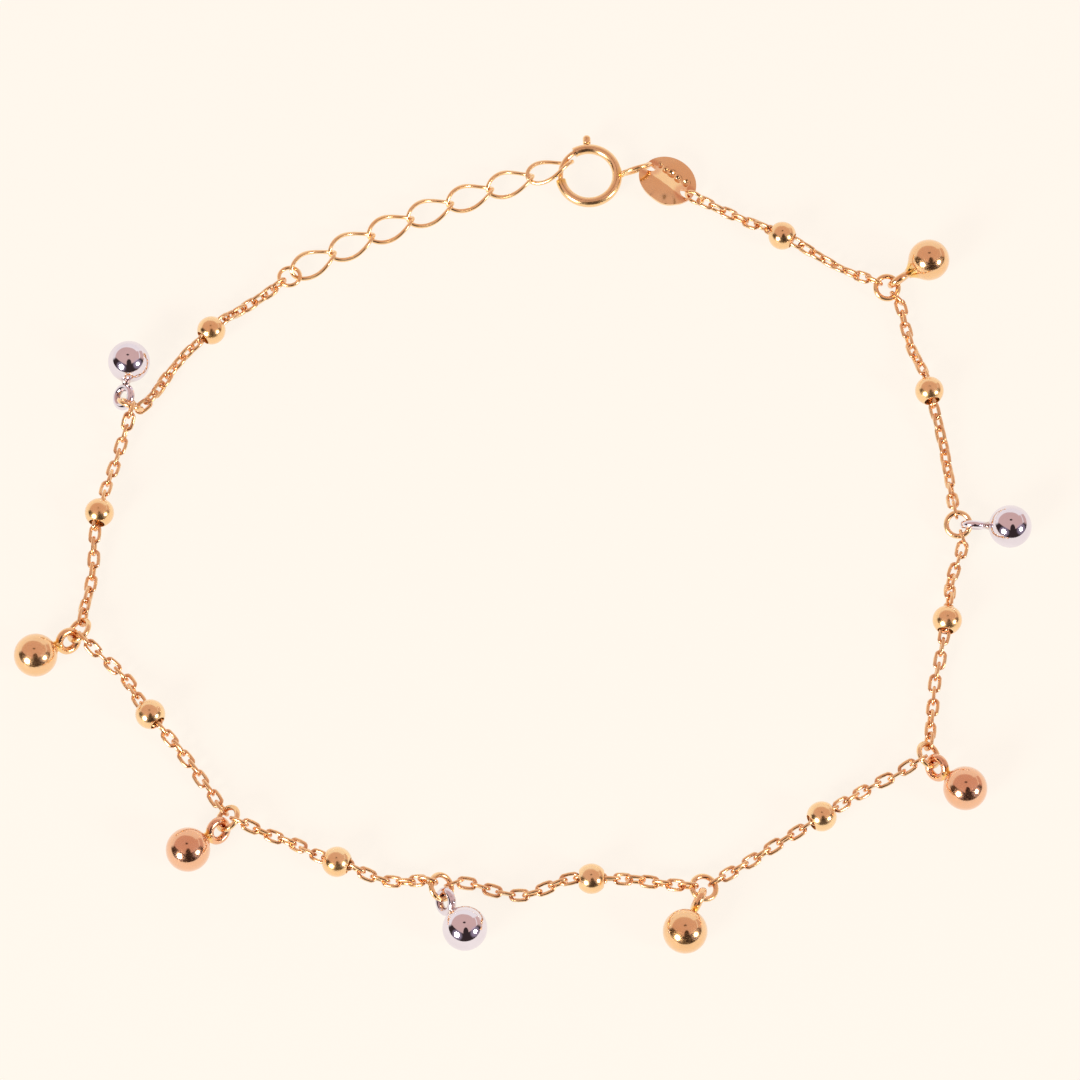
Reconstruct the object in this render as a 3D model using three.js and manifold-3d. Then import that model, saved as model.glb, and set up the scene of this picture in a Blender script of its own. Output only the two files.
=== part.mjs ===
// A fine gold charm bracelet laid out in a loop: cable chain, drilled beads, ball drops on jump rings,
// a curb extender and a spring-ring clasp with its tag plate.  Millimetres, +Z up, resting on z = 0.
import * as THREE from 'three';
import { mergeVertices } from 'three/addons/utils/BufferGeometryUtils.js';
import Module from 'manifold-3d';

const wasm = await Module();
wasm.setup();

// ---------------------------------------------------------------- driving dimensions, mm

const RUNNING_GAP = 0.05;        // between a wire and the link that hangs on it

const BALL = { radius: 1.5, around: 14, rings: 9 };
const BEAD = { radius: 1.03, bore: 0.55, around: 12, arcs: 6 };
const DROP_LOOP = { radius: 0.7, wire: 0.46, fromBall: 2.58 };
const DROP_NECK = { radius: 0.3, length: 0.6, fromLoop: 1.05, sides: 8 };
const JUMP_RING = { radius: 0.83, wire: 0.34 };
const TAG_RING = { radius: 0.66, wire: 0.28, seat: 0.09 };
const EXTENDER_RING = { radius: 0.77, wire: 0.3, heading: 40, lean: 4, depth: 0.15 };
const RING_AROUND = 12;          // flats round a ring
const WIRE_SIDES = 6;            // flats round a ring's wire
const LINK_SIDES = 5;            // flats round a link's wire

const CABLE = { length: 1.4, width: 0.9, wire: 0.21, pitch: 0.96, around: 10, squareness: 0.72 };
const LOWEST_HANG = 0.5;         // height on a ring below which no link hangs
const TUBE = { radius: 0.37, sides: 8, step: 1.7, start: 0.32, pastBead: 1.25 };
const CHAIN_LIE = 0.44;          // height of the chain's centreline where it lies flat

const EXTENDER = {
  count: 7, length: 3.82, width: 2.25, wire: 0.3, pitch: 3.17, twist: -45, around: 14, squareness: 0.9,
  height: 0.7, firstHeading: 30, lastHeading: 18.5, lastRise: 6, lastRoll: -12, lastPitch: 3.11,
};

const CLASP = {
  x: 4.5, y: 28.49, z: 0.84, lean: 10, radius: 2.07, tube: 0.35, sides: 12, step: 11,
  gapUpper: 121, gapLower: 190, bore: 0.235, boreEnd: -20, socketEnd: 203,
  slotFrom: 14, slotTo: 99, slotHalfWidth: 0.2,
};
const BOLT = { radius: 0.17, sides: 8, from: 78, to: 198, step: 8, linkAt: 157, linkDepth: 0.4 };
const KNOB = { angle: 93, base: 2.5, radius: 0.27, length: 0.72, neck: 0.14, sides: 10 };
const EYE = { radius: 1.11, wire: 0.34, heading: 19, solder: 3, lean: 24, tagAt: -16 };

const TAG = {
  halfLength: 2.2, halfWidth: 1.72, thickness: 0.25, crown: 0.36, flat: 0.5, around: 20,
  holeOffset: 1.65, holeRadius: 0.43, heading: -39, dip: 4, holeSides: 10, seat: 0.1, seatHeading: 0,
};

// One row for each ball drop, in order round the loop from the tag: where its ball lies, the heading
// from its jump ring out to the ball, how far its loop tilts from upright, and how far its jump ring
// folds up from the line of the drop.  Angles in degrees, anticlockwise seen from above.
const DROPS = [
  { metal: 'yellow', x: 29.15, y: 20.99, heading: 31, tilt: 19, fold: 8 },
  { metal: 'white', x: 33.85, y: -0.41, heading: -9, tilt: 22, fold: 10 },
  { metal: 'rose', x: 29.7, y: -20.01, heading: -45, tilt: -35, fold: 32 },
  { metal: 'yellow', x: 10.55, y: -30.16, heading: -112, tilt: -10, fold: 4 },
  { metal: 'white', x: -4.1, y: -29.96, heading: -58, tilt: -35, fold: 34 },
  { metal: 'rose', x: -22.75, y: -24.41, heading: -140, tilt: 35, fold: 32 },
  { metal: 'yellow', x: -33.85, y: -10.21, heading: -147, tilt: 35, fold: 32 },
  { metal: 'white', x: -28.55, y: 12.64, heading: 82, tilt: 54, fold: 70 },
];

// One row for each bead, in the same order: where it lies, and how far the chain bows outwards
// between it and the ring before it and the ring after it.
const BEADS = [
  { x: 18.6, y: 23.29, bowIn: 0.15, bowOut: 0.0 },
  { x: 28.75, y: 10.54, bowIn: 0.0, bowOut: 0.25 },
  { x: 29.15, y: -7.36, bowIn: -0.25, bowOut: -0.15 },
  { x: 19.95, y: -21.86, bowIn: -0.25, bowOut: 0.0 },
  { x: 4.35, y: -26.31, bowIn: -0.3, bowOut: 0.9 },
  { x: -12.75, y: -25.11, bowIn: 0.35, bowOut: -0.25 },
  { x: -25.8, y: -14.41, bowIn: -0.2, bowOut: -0.45 },
  { x: -30.1, y: 0.89, bowIn: -0.1, bowOut: 0.2 },
  { x: -22.8, y: 15.44, bowIn: 0.35, bowOut: 0.15 },
];

// ---------------------------------------------------------------- metals

const METALS = {
  yellow: { color: '#e3a765', roughness: 0.22 },
  rose: { color: '#dd9270', roughness: 0.22 },
  white: { color: '#cbbcbf', roughness: 0.2 },
  chain: { color: '#e0a070', roughness: 0.25 },
};

function metal(name) {
  return new THREE.MeshStandardMaterial({ ...METALS[name], metalness: 1 });
}

// ---------------------------------------------------------------- vectors

const UP = new THREE.Vector3(0, 0, 1);

function radians(degrees) {
  return THREE.MathUtils.degToRad(degrees);
}

function vec(x, y, z = 0) {
  return new THREE.Vector3(x, y, z);
}

// The level unit vector at a heading in degrees.
function level(heading) {
  return vec(Math.cos(radians(heading)), Math.sin(radians(heading)));
}

// point + direction * distance, as a new vector.
function along(point, direction, distance) {
  return point.clone().addScaledVector(direction, distance);
}

function cross(a, b) {
  return new THREE.Vector3().crossVectors(a, b);
}

// a turned from itself towards b, where a and b are at right angles.
function turned(a, b, degrees) {
  const angle = radians(degrees);
  return a.clone().multiplyScalar(Math.cos(angle)).addScaledVector(b, Math.sin(angle));
}

// The transform that carries a piece's own x and z axes to the two given, with its centre at a point.
function frameAt(centre, xAxis, zAxis) {
  const matrix = new THREE.Matrix4().makeBasis(xAxis, cross(zAxis, xAxis), zAxis);
  return matrix.setPosition(centre);
}

// ---------------------------------------------------------------- solids

// The closed solid of a geometry, its shared corners merged.
function solid(geometry) {
  const bare = geometry.clone();
  bare.deleteAttribute('normal');
  bare.deleteAttribute('uv');
  const merged = mergeVertices(bare, 1e-4);
  return new wasm.Manifold(new wasm.Mesh({
    numProp: 3,
    vertProperties: new Float32Array(merged.attributes.position.array),
    triVerts: new Uint32Array(merged.index.array),
  }));
}

function geometryOf(body) {
  const { vertProperties, triVerts } = body.getMesh();
  const geometry = new THREE.BufferGeometry();
  geometry.setAttribute('position', new THREE.BufferAttribute(new Float32Array(vertProperties), 3));
  geometry.setIndex(new THREE.BufferAttribute(new Uint32Array(triVerts), 1));
  geometry.computeVertexNormals();
  return geometry;
}

function fused(geometries) {
  return geometries.map(solid).reduce((sum, piece) => sum.add(piece));
}

function piece(name, geometry, metalName, matrix = new THREE.Matrix4()) {
  const mesh = new THREE.Mesh(geometry, metal(metalName));
  mesh.name = name;
  mesh.applyMatrix4(matrix);
  return mesh;
}

function polygon(radius, sides) {
  const corners = Array.from({ length: sides }, (_, i) => {
    const angle = ((i + 0.5) * 2 * Math.PI) / sides;
    return new THREE.Vector2(radius * Math.cos(angle), radius * Math.sin(angle));
  });
  return new THREE.Shape(corners);
}

// A straight-ended rod or tube that follows a path.
function rod(path, radius, sides, steps) {
  return new THREE.ExtrudeGeometry(polygon(radius, sides), { extrudePath: path, steps });
}

// An arc in the level plane about the origin, from one angle to another in degrees.
class ArcPath extends THREE.Curve {
  constructor(radius, from, to) {
    super();
    Object.assign(this, { radius, from, to });
  }

  getPoint(t, target = new THREE.Vector3()) {
    const angle = radians(this.from + (this.to - this.from) * t);
    return target.set(this.radius * Math.cos(angle), this.radius * Math.sin(angle), 0);
  }
}

function arcRod(radius, from, to, rodRadius, sides, stepDegrees) {
  const steps = Math.ceil(Math.abs(to - from) / stepDegrees);
  return rod(new ArcPath(radius, from, to), rodRadius, sides, steps);
}

function ringGeometry({ radius, wire }) {
  return new THREE.TorusGeometry(radius, wire / 2, WIRE_SIDES, RING_AROUND);
}

// A rounded-rectangle link in the XY plane, long along X, made by drawing a torus out to its outline;
// twist turns it about its long axis, by that many degrees at the right end and back at the left.
function linkGeometry({ length, width, wire, around, squareness, twist = 0 }) {
  const halfLength = (length - wire) / 2;
  const halfWidth = (width - wire) / 2;
  const geometry = new THREE.TorusGeometry(halfLength, wire / 2, LINK_SIDES, around);
  const outline = (angle) => {
    const power = (value) => Math.sign(value) * Math.abs(value) ** squareness;
    return vec(halfLength * power(Math.cos(angle)), halfWidth * power(Math.sin(angle)));
  };
  const corner = new THREE.Vector3();
  const position = geometry.attributes.position;
  for (let i = 0; i < position.count; i += 1) {
    corner.fromBufferAttribute(position, i);
    const angle = Math.atan2(corner.y, corner.x);
    const outwards = Math.hypot(corner.x, corner.y) - halfLength;
    const nudge = 1e-3;
    const tangent = outline(angle + nudge).sub(outline(angle - nudge)).normalize();
    const point = along(outline(angle), cross(tangent, UP), outwards).setZ(corner.z);
    point.applyAxisAngle(vec(1, 0), radians((twist * point.x) / halfLength));
    position.setXYZ(i, point.x, point.y, point.z);
  }
  return geometry;
}

// ---------------------------------------------------------------- ball drops and jump rings

// The angle by which a drop rises from its loop to its ball, when both touch the surface.
function riseToBall(ballHeight, tilt) {
  let rise = 0;
  for (let pass = 0; pass < 4; pass += 1) {
    const reach = DROP_LOOP.radius * Math.hypot(Math.cos(tilt), Math.sin(tilt) * Math.sin(rise));
    rise = Math.asin((ballHeight - reach - DROP_LOOP.wire / 2) / DROP_LOOP.fromBall);
  }
  return THREE.MathUtils.radToDeg(rise);
}

// How a drop lies: its ball and loop rest on the surface, and its jump ring hangs in the loop.
function layDrop({ x, y, heading, tilt, fold }) {
  const ball = vec(x, y, BALL.radius);
  const toBall = turned(level(heading), UP, riseToBall(ball.z, radians(tilt)));
  const side = cross(UP, toBall).normalize();
  const across = turned(side, cross(toBall, side), tilt);
  const loop = along(ball, toBall, -DROP_LOOP.fromBall);
  const slack = DROP_LOOP.radius - (DROP_LOOP.wire + JUMP_RING.wire) / 2 - RUNNING_GAP;
  const wire = along(loop, toBall, -slack);
  const toLoop = turned(toBall, cross(across, toBall), fold);
  const ring = along(wire, toLoop, -JUMP_RING.radius);
  return { ball, toBall, across, loop, ring, toLoop, normal: cross(toLoop, across) };
}

// The ball, its loop and the solder between them, along +X from the loop's centre to the ball's.
function dropGeometry() {
  const ball = new THREE.SphereGeometry(BALL.radius, BALL.around, BALL.rings);
  ball.translate(DROP_LOOP.fromBall, 0, 0);
  const loop = new THREE.TorusGeometry(DROP_LOOP.radius, DROP_LOOP.wire / 2, WIRE_SIDES, RING_AROUND);
  const { radius, length, fromLoop, sides } = DROP_NECK;
  const neck = new THREE.CylinderGeometry(radius, radius, length, sides).rotateZ(Math.PI / 2);
  neck.translate(fromLoop, 0, 0);
  return geometryOf(fused([ball, neck, loop]));
}

// ---------------------------------------------------------------- beads

// A ball drilled right through, its bore along Y.
function beadGeometry() {
  const mouth = Math.asin(BEAD.bore / BEAD.radius);
  const profile = [];
  for (let i = 0; i <= BEAD.arcs; i += 1) {
    const angle = mouth + ((Math.PI - 2 * mouth) * i) / BEAD.arcs;
    profile.push(new THREE.Vector2(BEAD.radius * Math.sin(angle), -BEAD.radius * Math.cos(angle)));
  }
  profile.push(profile[0].clone());
  return new THREE.LatheGeometry(profile, BEAD.around);
}

// ---------------------------------------------------------------- cable chain

// The direction in a ring's plane nearest to the one given that does not drop below a slope.
function heldUp(direction, normal, lowest) {
  if (direction.z >= lowest) return direction;
  const flat = cross(normal, UP).normalize();
  const steep = cross(flat, normal);
  const climb = lowest / steep.z;
  const run = Math.sign(flat.dot(direction)) * Math.sqrt(1 - climb ** 2);
  return flat.multiplyScalar(run).addScaledVector(steep, climb);
}

// Where a link hangs on a ring when the chain leaves it on a heading, with the link's flat standing
// square to the ring's wire.
function hangOn({ ring, normal }, { radius, wire }, heading) {
  const farthest = along(heading, normal, -heading.dot(normal)).normalize();
  const outward = heldUp(farthest, normal, (LOWEST_HANG - ring.z) / radius);
  const square = cross(normal, outward);
  const direction = along(heading, square, -heading.dot(square)).normalize();
  const slack = CABLE.length / 2 - CABLE.wire - wire / 2 - RUNNING_GAP;
  const centre = along(along(ring, outward, radius), direction, slack);
  return { centre, direction, square };
}

function linkAt({ centre, direction, square }) {
  return linkGeometry(CABLE).applyMatrix4(frameAt(centre, direction, square));
}

// The line of the chain from one end link through a bead to the other: down to the surface, up
// through the bead's bore, down again and up to the next ring.
function chainRoute(start, bead, end, bowIn, bowOut) {
  const heading = end.centre.clone().sub(start.centre).setZ(0).normalize();
  const outward = cross(heading, UP);
  const centre = vec(bead.x, bead.y, BEAD.radius);
  const lying = (from, bow) => {
    const middle = from.clone().lerp(centre, 0.5).setZ(CHAIN_LIE);
    return along(middle, outward, bow);
  };
  const first = along(start.centre, start.direction, TUBE.start);
  const last = along(end.centre, end.direction, TUBE.start);
  const lowered = (point, direction) => {
    const next = along(point, direction, CABLE.pitch);
    return next.setZ((next.z + CHAIN_LIE) / 2);
  };
  return new THREE.CatmullRomCurve3([
    first,
    lowered(first, start.direction),
    lying(start.centre, -bowIn),
    along(centre, heading, -TUBE.pastBead * BEAD.radius),
    centre,
    along(centre, heading, TUBE.pastBead * BEAD.radius),
    lying(end.centre, -bowOut),
    lowered(last, end.direction),
    last,
  ]);
}

function chainGeometry(start, end, route) {
  const steps = Math.round(route.getLength() / TUBE.step);
  const strand = rod(route, TUBE.radius, TUBE.sides, steps);
  return geometryOf(fused([strand, linkAt(start), linkAt(end)]));
}

// The clasp lies with its far side raised a little.
const CLASP_PLACE = new THREE.Matrix4().makeRotationX(radians(CLASP.lean)).setPosition(
  vec(CLASP.x, CLASP.y, CLASP.z),
);

// ---------------------------------------------------------------- extender

// The centres and headings of the extender's links, from the clasp's bolt back to the chain.
function layExtender() {
  const bolt = level(BOLT.linkAt).multiplyScalar(CLASP.radius).applyMatrix4(CLASP_PLACE);
  const reach = EXTENDER.length / 2 - EXTENDER.wire - BOLT.radius - BOLT.linkDepth;
  const links = [];
  const turn = (EXTENDER.firstHeading - EXTENDER.lastHeading) / (EXTENDER.count - 1);
  const raised = turned(level(EXTENDER.lastHeading), UP, EXTENDER.lastRise);
  let centre = along(bolt, raised, -reach);
  for (let i = 0; i < EXTENDER.count; i += 1) {
    const heading = EXTENDER.lastHeading + turn * i;
    const direction = i === 0 ? raised : level(heading);
    const roll = i === 0 ? EXTENDER.lastRoll : 0;
    const side = cross(UP, direction).normalize();
    links.unshift({ centre, direction, normal: turned(cross(direction, side), side, -roll) });
    const pitch = i === 0 ? EXTENDER.lastPitch : EXTENDER.pitch;
    centre = along(centre, level(heading + turn / 2), -pitch).setZ(EXTENDER.height);
  }
  return links;
}

// The jump ring that joins the extender's first link to the chain.
function layExtenderRing({ centre, direction: linkDirection }) {
  const { radius, wire, depth, lean } = EXTENDER_RING;
  const inset = EXTENDER.length / 2 - EXTENDER.wire - wire / 2 - depth;
  const contact = along(centre, linkDirection, -inset);
  const direction = level(EXTENDER_RING.heading);
  const normal = turned(UP, cross(UP, direction), lean);
  return { ring: along(contact, direction, -radius), direction, normal };
}

// ---------------------------------------------------------------- clasp

// The eye rests on the surface, leaning a little, with its near side soldered to the spring ring.
function layEye() {
  const solder = level(EYE.solder).multiplyScalar(CLASP.radius + CLASP.tube).applyMatrix4(CLASP_PLACE);
  const outward = level(EYE.heading);
  const upward = turned(UP, cross(outward, UP), EYE.lean);
  const height = EYE.radius * upward.z + EYE.wire / 2;
  const rise = (height - solder.z) / upward.z;
  const inset = Math.sqrt(EYE.radius ** 2 - rise ** 2);
  const centre = along(along(solder, outward, inset), upward, rise);
  const tagAt = along(centre, turned(outward, upward, EYE.tagAt), EYE.radius);
  return { centre, outward, normal: cross(outward, upward), tagAt };
}

// The hollow spring ring: a tube with a gap for the link, bored for the bolt, slotted for the knob,
// with an upright eye soldered on.
function springRingGeometry() {
  const { radius, tube, sides, step } = CLASP;
  const arc = (from, to, rodRadius, rodSides) => arcRod(radius, from, to, rodRadius, rodSides, step);
  const body = solid(arc(CLASP.gapLower, CLASP.gapUpper + 360, tube, sides));
  const bolthole = solid(arc(CLASP.gapUpper + 5, CLASP.boreEnd, CLASP.bore, BOLT.sides));
  const socket = solid(arc(CLASP.gapLower - 5, CLASP.socketEnd, CLASP.bore, BOLT.sides));
  const slotShape = new THREE.Shape();
  slotShape.absarc(0, 0, radius + 2 * tube, radians(CLASP.slotFrom), radians(CLASP.slotTo), false);
  slotShape.absarc(0, 0, radius, radians(CLASP.slotTo), radians(CLASP.slotFrom), true);
  const slot = new THREE.ExtrudeGeometry(slotShape, {
    depth: 2 * CLASP.slotHalfWidth, bevelEnabled: false, curveSegments: 8,
  });
  slot.translate(0, 0, -CLASP.slotHalfWidth);
  const { centre, outward, normal } = layEye();
  const eye = ringGeometry(EYE).applyMatrix4(frameAt(centre, outward, normal));
  eye.applyMatrix4(CLASP_PLACE.clone().invert());
  const hollow = body.subtract(bolthole).subtract(socket).subtract(solid(slot));
  return geometryOf(hollow.add(solid(eye)));
}

// The sprung bolt that closes the gap, with its thumb knob standing out through the slot.
function boltGeometry() {
  const bolt = arcRod(CLASP.radius, BOLT.from, BOLT.to, BOLT.radius, BOLT.sides, BOLT.step);
  const neckLength = KNOB.base + KNOB.radius / 2 - CLASP.radius;
  const neck = new THREE.CylinderGeometry(KNOB.neck, KNOB.neck, neckLength, BOLT.sides);
  neck.translate(0, CLASP.radius + neckLength / 2, 0);
  const profile = [[0, 0], [0.85, 0], [1, 0.2], [0.95, 0.7], [0.65, 0.9], [0, 1]].map(
    ([out, up]) => new THREE.Vector2(KNOB.radius * out, KNOB.length * up),
  );
  const knob = new THREE.LatheGeometry(profile, KNOB.sides).translate(0, KNOB.base, 0);
  for (const part of [neck, knob]) part.rotateZ(radians(KNOB.angle - 90));
  return geometryOf(fused([bolt, neck, knob]));
}

// ---------------------------------------------------------------- tag plate

// The tag hangs on the eye's far side and dips towards the chain.
function layTag() {
  const direction = turned(level(TAG.heading), UP, -TAG.dip);
  const normal = cross(direction, cross(UP, direction).normalize());
  const hole = along(layEye().tagAt, level(TAG.seatHeading), TAG.seat);
  const centre = along(hole, direction, TAG.holeOffset);
  return { centre, direction, normal };
}

// An oval plate, domed to a flat panel, with a hole near each end of its long axis.
function tagGeometry() {
  const dome = [[TAG.flat, 1], [0.8, 0.55], [1, 0]];
  const upper = dome.map(([out, up]) => new THREE.Vector2(TAG.halfWidth * out, TAG.crown * up));
  const lower = upper.map(({ x, y }) => new THREE.Vector2(x, y - TAG.thickness));
  const bottom = new THREE.Vector2(0, TAG.crown - TAG.thickness);
  const top = new THREE.Vector2(0, TAG.crown);
  const plate = new THREE.LatheGeometry([bottom, ...lower, ...upper.reverse(), top], TAG.around);
  plate.rotateX(Math.PI / 2).scale(TAG.halfLength / TAG.halfWidth, 1, 1);
  const hole = new THREE.CylinderGeometry(TAG.holeRadius, TAG.holeRadius, 2 * TAG.crown + 1, TAG.holeSides);
  hole.rotateX(Math.PI / 2);
  const holes = [-1, 1].map((end) => solid(hole.clone().translate(end * TAG.holeOffset, 0, 0)));
  return geometryOf(holes.reduce((sum, cut) => sum.subtract(cut), solid(plate)));
}

// The small ring that joins the tag to the chain stands upright in the tag's far hole.
function layTagRing({ centre, direction }, towards) {
  const hole = along(centre, direction, TAG.holeOffset);
  const heading = towards.clone().sub(hole).setZ(0).normalize();
  const height = TAG_RING.radius + TAG_RING.wire / 2;
  const ring = along(hole, heading, TAG_RING.seat + TAG_RING.radius).setZ(height);
  return { ring, normal: cross(heading, UP) };
}

// ---------------------------------------------------------------- assembly

const bracelet = new THREE.Group();

function addGroup(meshes) {
  const group = new THREE.Group();
  group.add(...meshes);
  bracelet.add(group);
}

const drops = DROPS.map(layDrop);
const links = layExtender();
const extenderRing = layExtenderRing(links[0]);
const tag = layTag();
const tagRing = layTagRing(tag, vec(BEADS[0].x, BEADS[0].y));

addGroup(drops.map(({ loop, toBall, across }, i) => piece(
  `ball_drop_${i + 1}`, dropGeometry(), DROPS[i].metal, frameAt(loop, toBall, across),
)));
addGroup(drops.map(({ ring, toLoop, normal }, i) => piece(
  `jump_ring_${i + 1}`, ringGeometry(JUMP_RING), 'chain', frameAt(ring, toLoop, normal),
)));

// Each stretch of chain runs from one ring to the next through a bead.
const rings = [
  { ...tagRing, size: TAG_RING },
  ...drops.map((drop) => ({ ...drop, size: JUMP_RING })),
  { ...extenderRing, size: EXTENDER_RING },
];
const stretches = BEADS.map((bead, i) => {
  const leave = (ring) => hangOn(ring, ring.size, vec(bead.x, bead.y).sub(ring.ring).setZ(0).normalize());
  const start = leave(rings[i]);
  const end = leave(rings[i + 1]);
  return { start, end, route: chainRoute(start, bead, end, bead.bowIn, bead.bowOut) };
});

addGroup(stretches.map(({ start, end, route }, i) => piece(
  `chain_${i + 1}`, chainGeometry(start, end, route), 'chain',
)));
addGroup(BEADS.map(({ x, y }, i) => {
  const { start, end } = stretches[i];
  const heading = end.centre.clone().sub(start.centre).setZ(0).normalize();
  const centre = vec(x, y, BEAD.radius);
  return piece(`bead_${i + 1}`, beadGeometry(), 'chain', frameAt(centre, cross(heading, UP), UP));
}));

addGroup([
  ...links.map(({ centre, direction, normal }, i) => piece(
    `extender_link_${i + 1}`, linkGeometry(EXTENDER), 'chain',
    frameAt(centre, direction, normal),
  )),
  piece(
    'extender_ring', ringGeometry(EXTENDER_RING), 'chain',
    frameAt(extenderRing.ring, extenderRing.direction, extenderRing.normal),
  ),
]);

addGroup([
  piece('spring_ring', springRingGeometry(), 'chain', CLASP_PLACE),
  piece('clasp_bolt', boltGeometry(), 'chain', CLASP_PLACE),
]);
addGroup([
  piece('tag_plate', tagGeometry(), 'chain', frameAt(tag.centre, tag.direction, tag.normal)),
  piece('tag_ring', ringGeometry(TAG_RING), 'chain', frameAt(tagRing.ring, UP, tagRing.normal)),
]);

export default bracelet;
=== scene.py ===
import logging
import math
import random
from collections.abc import Callable, Iterable, Iterator
from contextlib import contextmanager
from dataclasses import dataclass, field
from enum import Enum

import bmesh
import bpy
from mathutils import Matrix, Vector


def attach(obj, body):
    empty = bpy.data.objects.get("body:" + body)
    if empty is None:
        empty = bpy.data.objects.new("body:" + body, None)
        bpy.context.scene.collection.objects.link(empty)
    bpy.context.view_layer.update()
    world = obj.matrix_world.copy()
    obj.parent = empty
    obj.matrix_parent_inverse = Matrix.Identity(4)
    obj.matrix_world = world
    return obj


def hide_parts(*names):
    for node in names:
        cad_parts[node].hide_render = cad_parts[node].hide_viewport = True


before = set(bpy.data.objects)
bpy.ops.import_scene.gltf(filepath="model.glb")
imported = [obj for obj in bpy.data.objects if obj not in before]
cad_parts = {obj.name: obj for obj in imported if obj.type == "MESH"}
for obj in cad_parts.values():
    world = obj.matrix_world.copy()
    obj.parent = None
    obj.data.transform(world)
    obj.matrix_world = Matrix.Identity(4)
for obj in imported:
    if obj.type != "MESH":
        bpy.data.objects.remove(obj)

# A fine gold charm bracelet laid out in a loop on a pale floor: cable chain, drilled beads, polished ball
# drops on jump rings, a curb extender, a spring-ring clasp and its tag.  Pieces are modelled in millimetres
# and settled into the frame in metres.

LOG = logging.getLogger("bracelet")
MM = 0.001
UP = Vector((0.0, 0.0, 1.0))
CLEARANCE = 0.05
BRACELET_BODY = "bracelet"
BOLT_BODY = "bolt"
RING_STEPS = 56  # round a large ring
SMALL_RING_STEPS = 48  # round a small one
ROD_STEP = 3.5  # degrees of a rod's bend in each step
OVERRUN = 5.0  # degrees by which a bore runs out past the tube's end
TOUCH = 0.01  # millimetres within which a point counts as on a face or a line

Piece = bpy.types.Object
Socket = bpy.types.NodeSocket
Span = tuple[float, float]

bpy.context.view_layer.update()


# ---------------------------------------------------------------- directions and places


def level(heading: float) -> Vector:
    """Return the level unit vector at a heading in degrees."""
    return Vector((math.cos(math.radians(heading)), math.sin(math.radians(heading)), 0.0))


def turned(start: Vector, towards: Vector, degrees: float) -> Vector:
    """Turn a unit vector from itself towards another at right angles to it.

    Args:
        start: The unit vector to turn.
        towards: A unit vector at right angles to start.
        degrees: How far to turn.

    Returns:
        The turned unit vector.
    """
    angle = math.radians(degrees)
    return start * math.cos(angle) + towards * math.sin(angle)


def without(vector: Vector, normal: Vector) -> Vector:
    """Return the unit vector along the part of a vector that is square to a normal."""
    return (vector - normal * vector.dot(normal)).normalized()


def frame_at(centre: Vector, x_axis: Vector, z_axis: Vector) -> Matrix:
    """Make the transform that carries a piece's own x and z axes to the two given.

    Args:
        centre: Where the piece's origin goes.
        x_axis: Unit vector for the piece's x axis.
        z_axis: Unit vector for the piece's z axis.

    Returns:
        The transform.
    """
    y_axis = z_axis.cross(x_axis)
    place = Matrix((x_axis, y_axis, z_axis)).transposed().to_4x4()
    place.translation = centre
    return place


# ---------------------------------------------------------------- finishes


SOLDER = "solder"
PATINA_AND_SHADE = "patina_and_shade"
CLOUD_SCALE = 420.0
CLOUD_EDGES = (0.38, 0.62)
SMEAR_SCALE = 900.0
SMEAR_SPAN = (0.35, 0.7)
RIPPLE_SCALE = 1300.0
GRAIN_SCALE = 30000.0
GRAIN_SPAN = (0.5, 0.7)
LACQUER_ROUGHNESS = 0.04
LACQUER_IOR = 2.1
HAIRLINE_SCALE = 9000.0
HAIRLINE_STRETCH = (1.0, 0.2, 1.0)
HAIRLINE_TURN = (0.3, 0.5, 0.7)


class Metal(Enum):
    """The golds of the bracelet, with the material slot that each one stands for."""

    CHAIN = "chain_gold"
    YELLOW = "yellow_gold"
    ROSE = "rose_gold"
    WHITE = "white_gold"


@dataclass(frozen=True)
class Colour:
    """A linear colour."""

    red: float
    green: float
    blue: float

    def rgba(self) -> tuple[float, float, float, float]:
        """Return the colour with full alpha."""
        return (self.red, self.green, self.blue, 1.0)

    def scaled(self, factor: float) -> "Colour":
        """Return the colour made lighter or darker."""
        return Colour(self.red * factor, self.green * factor, self.blue * factor)


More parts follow.
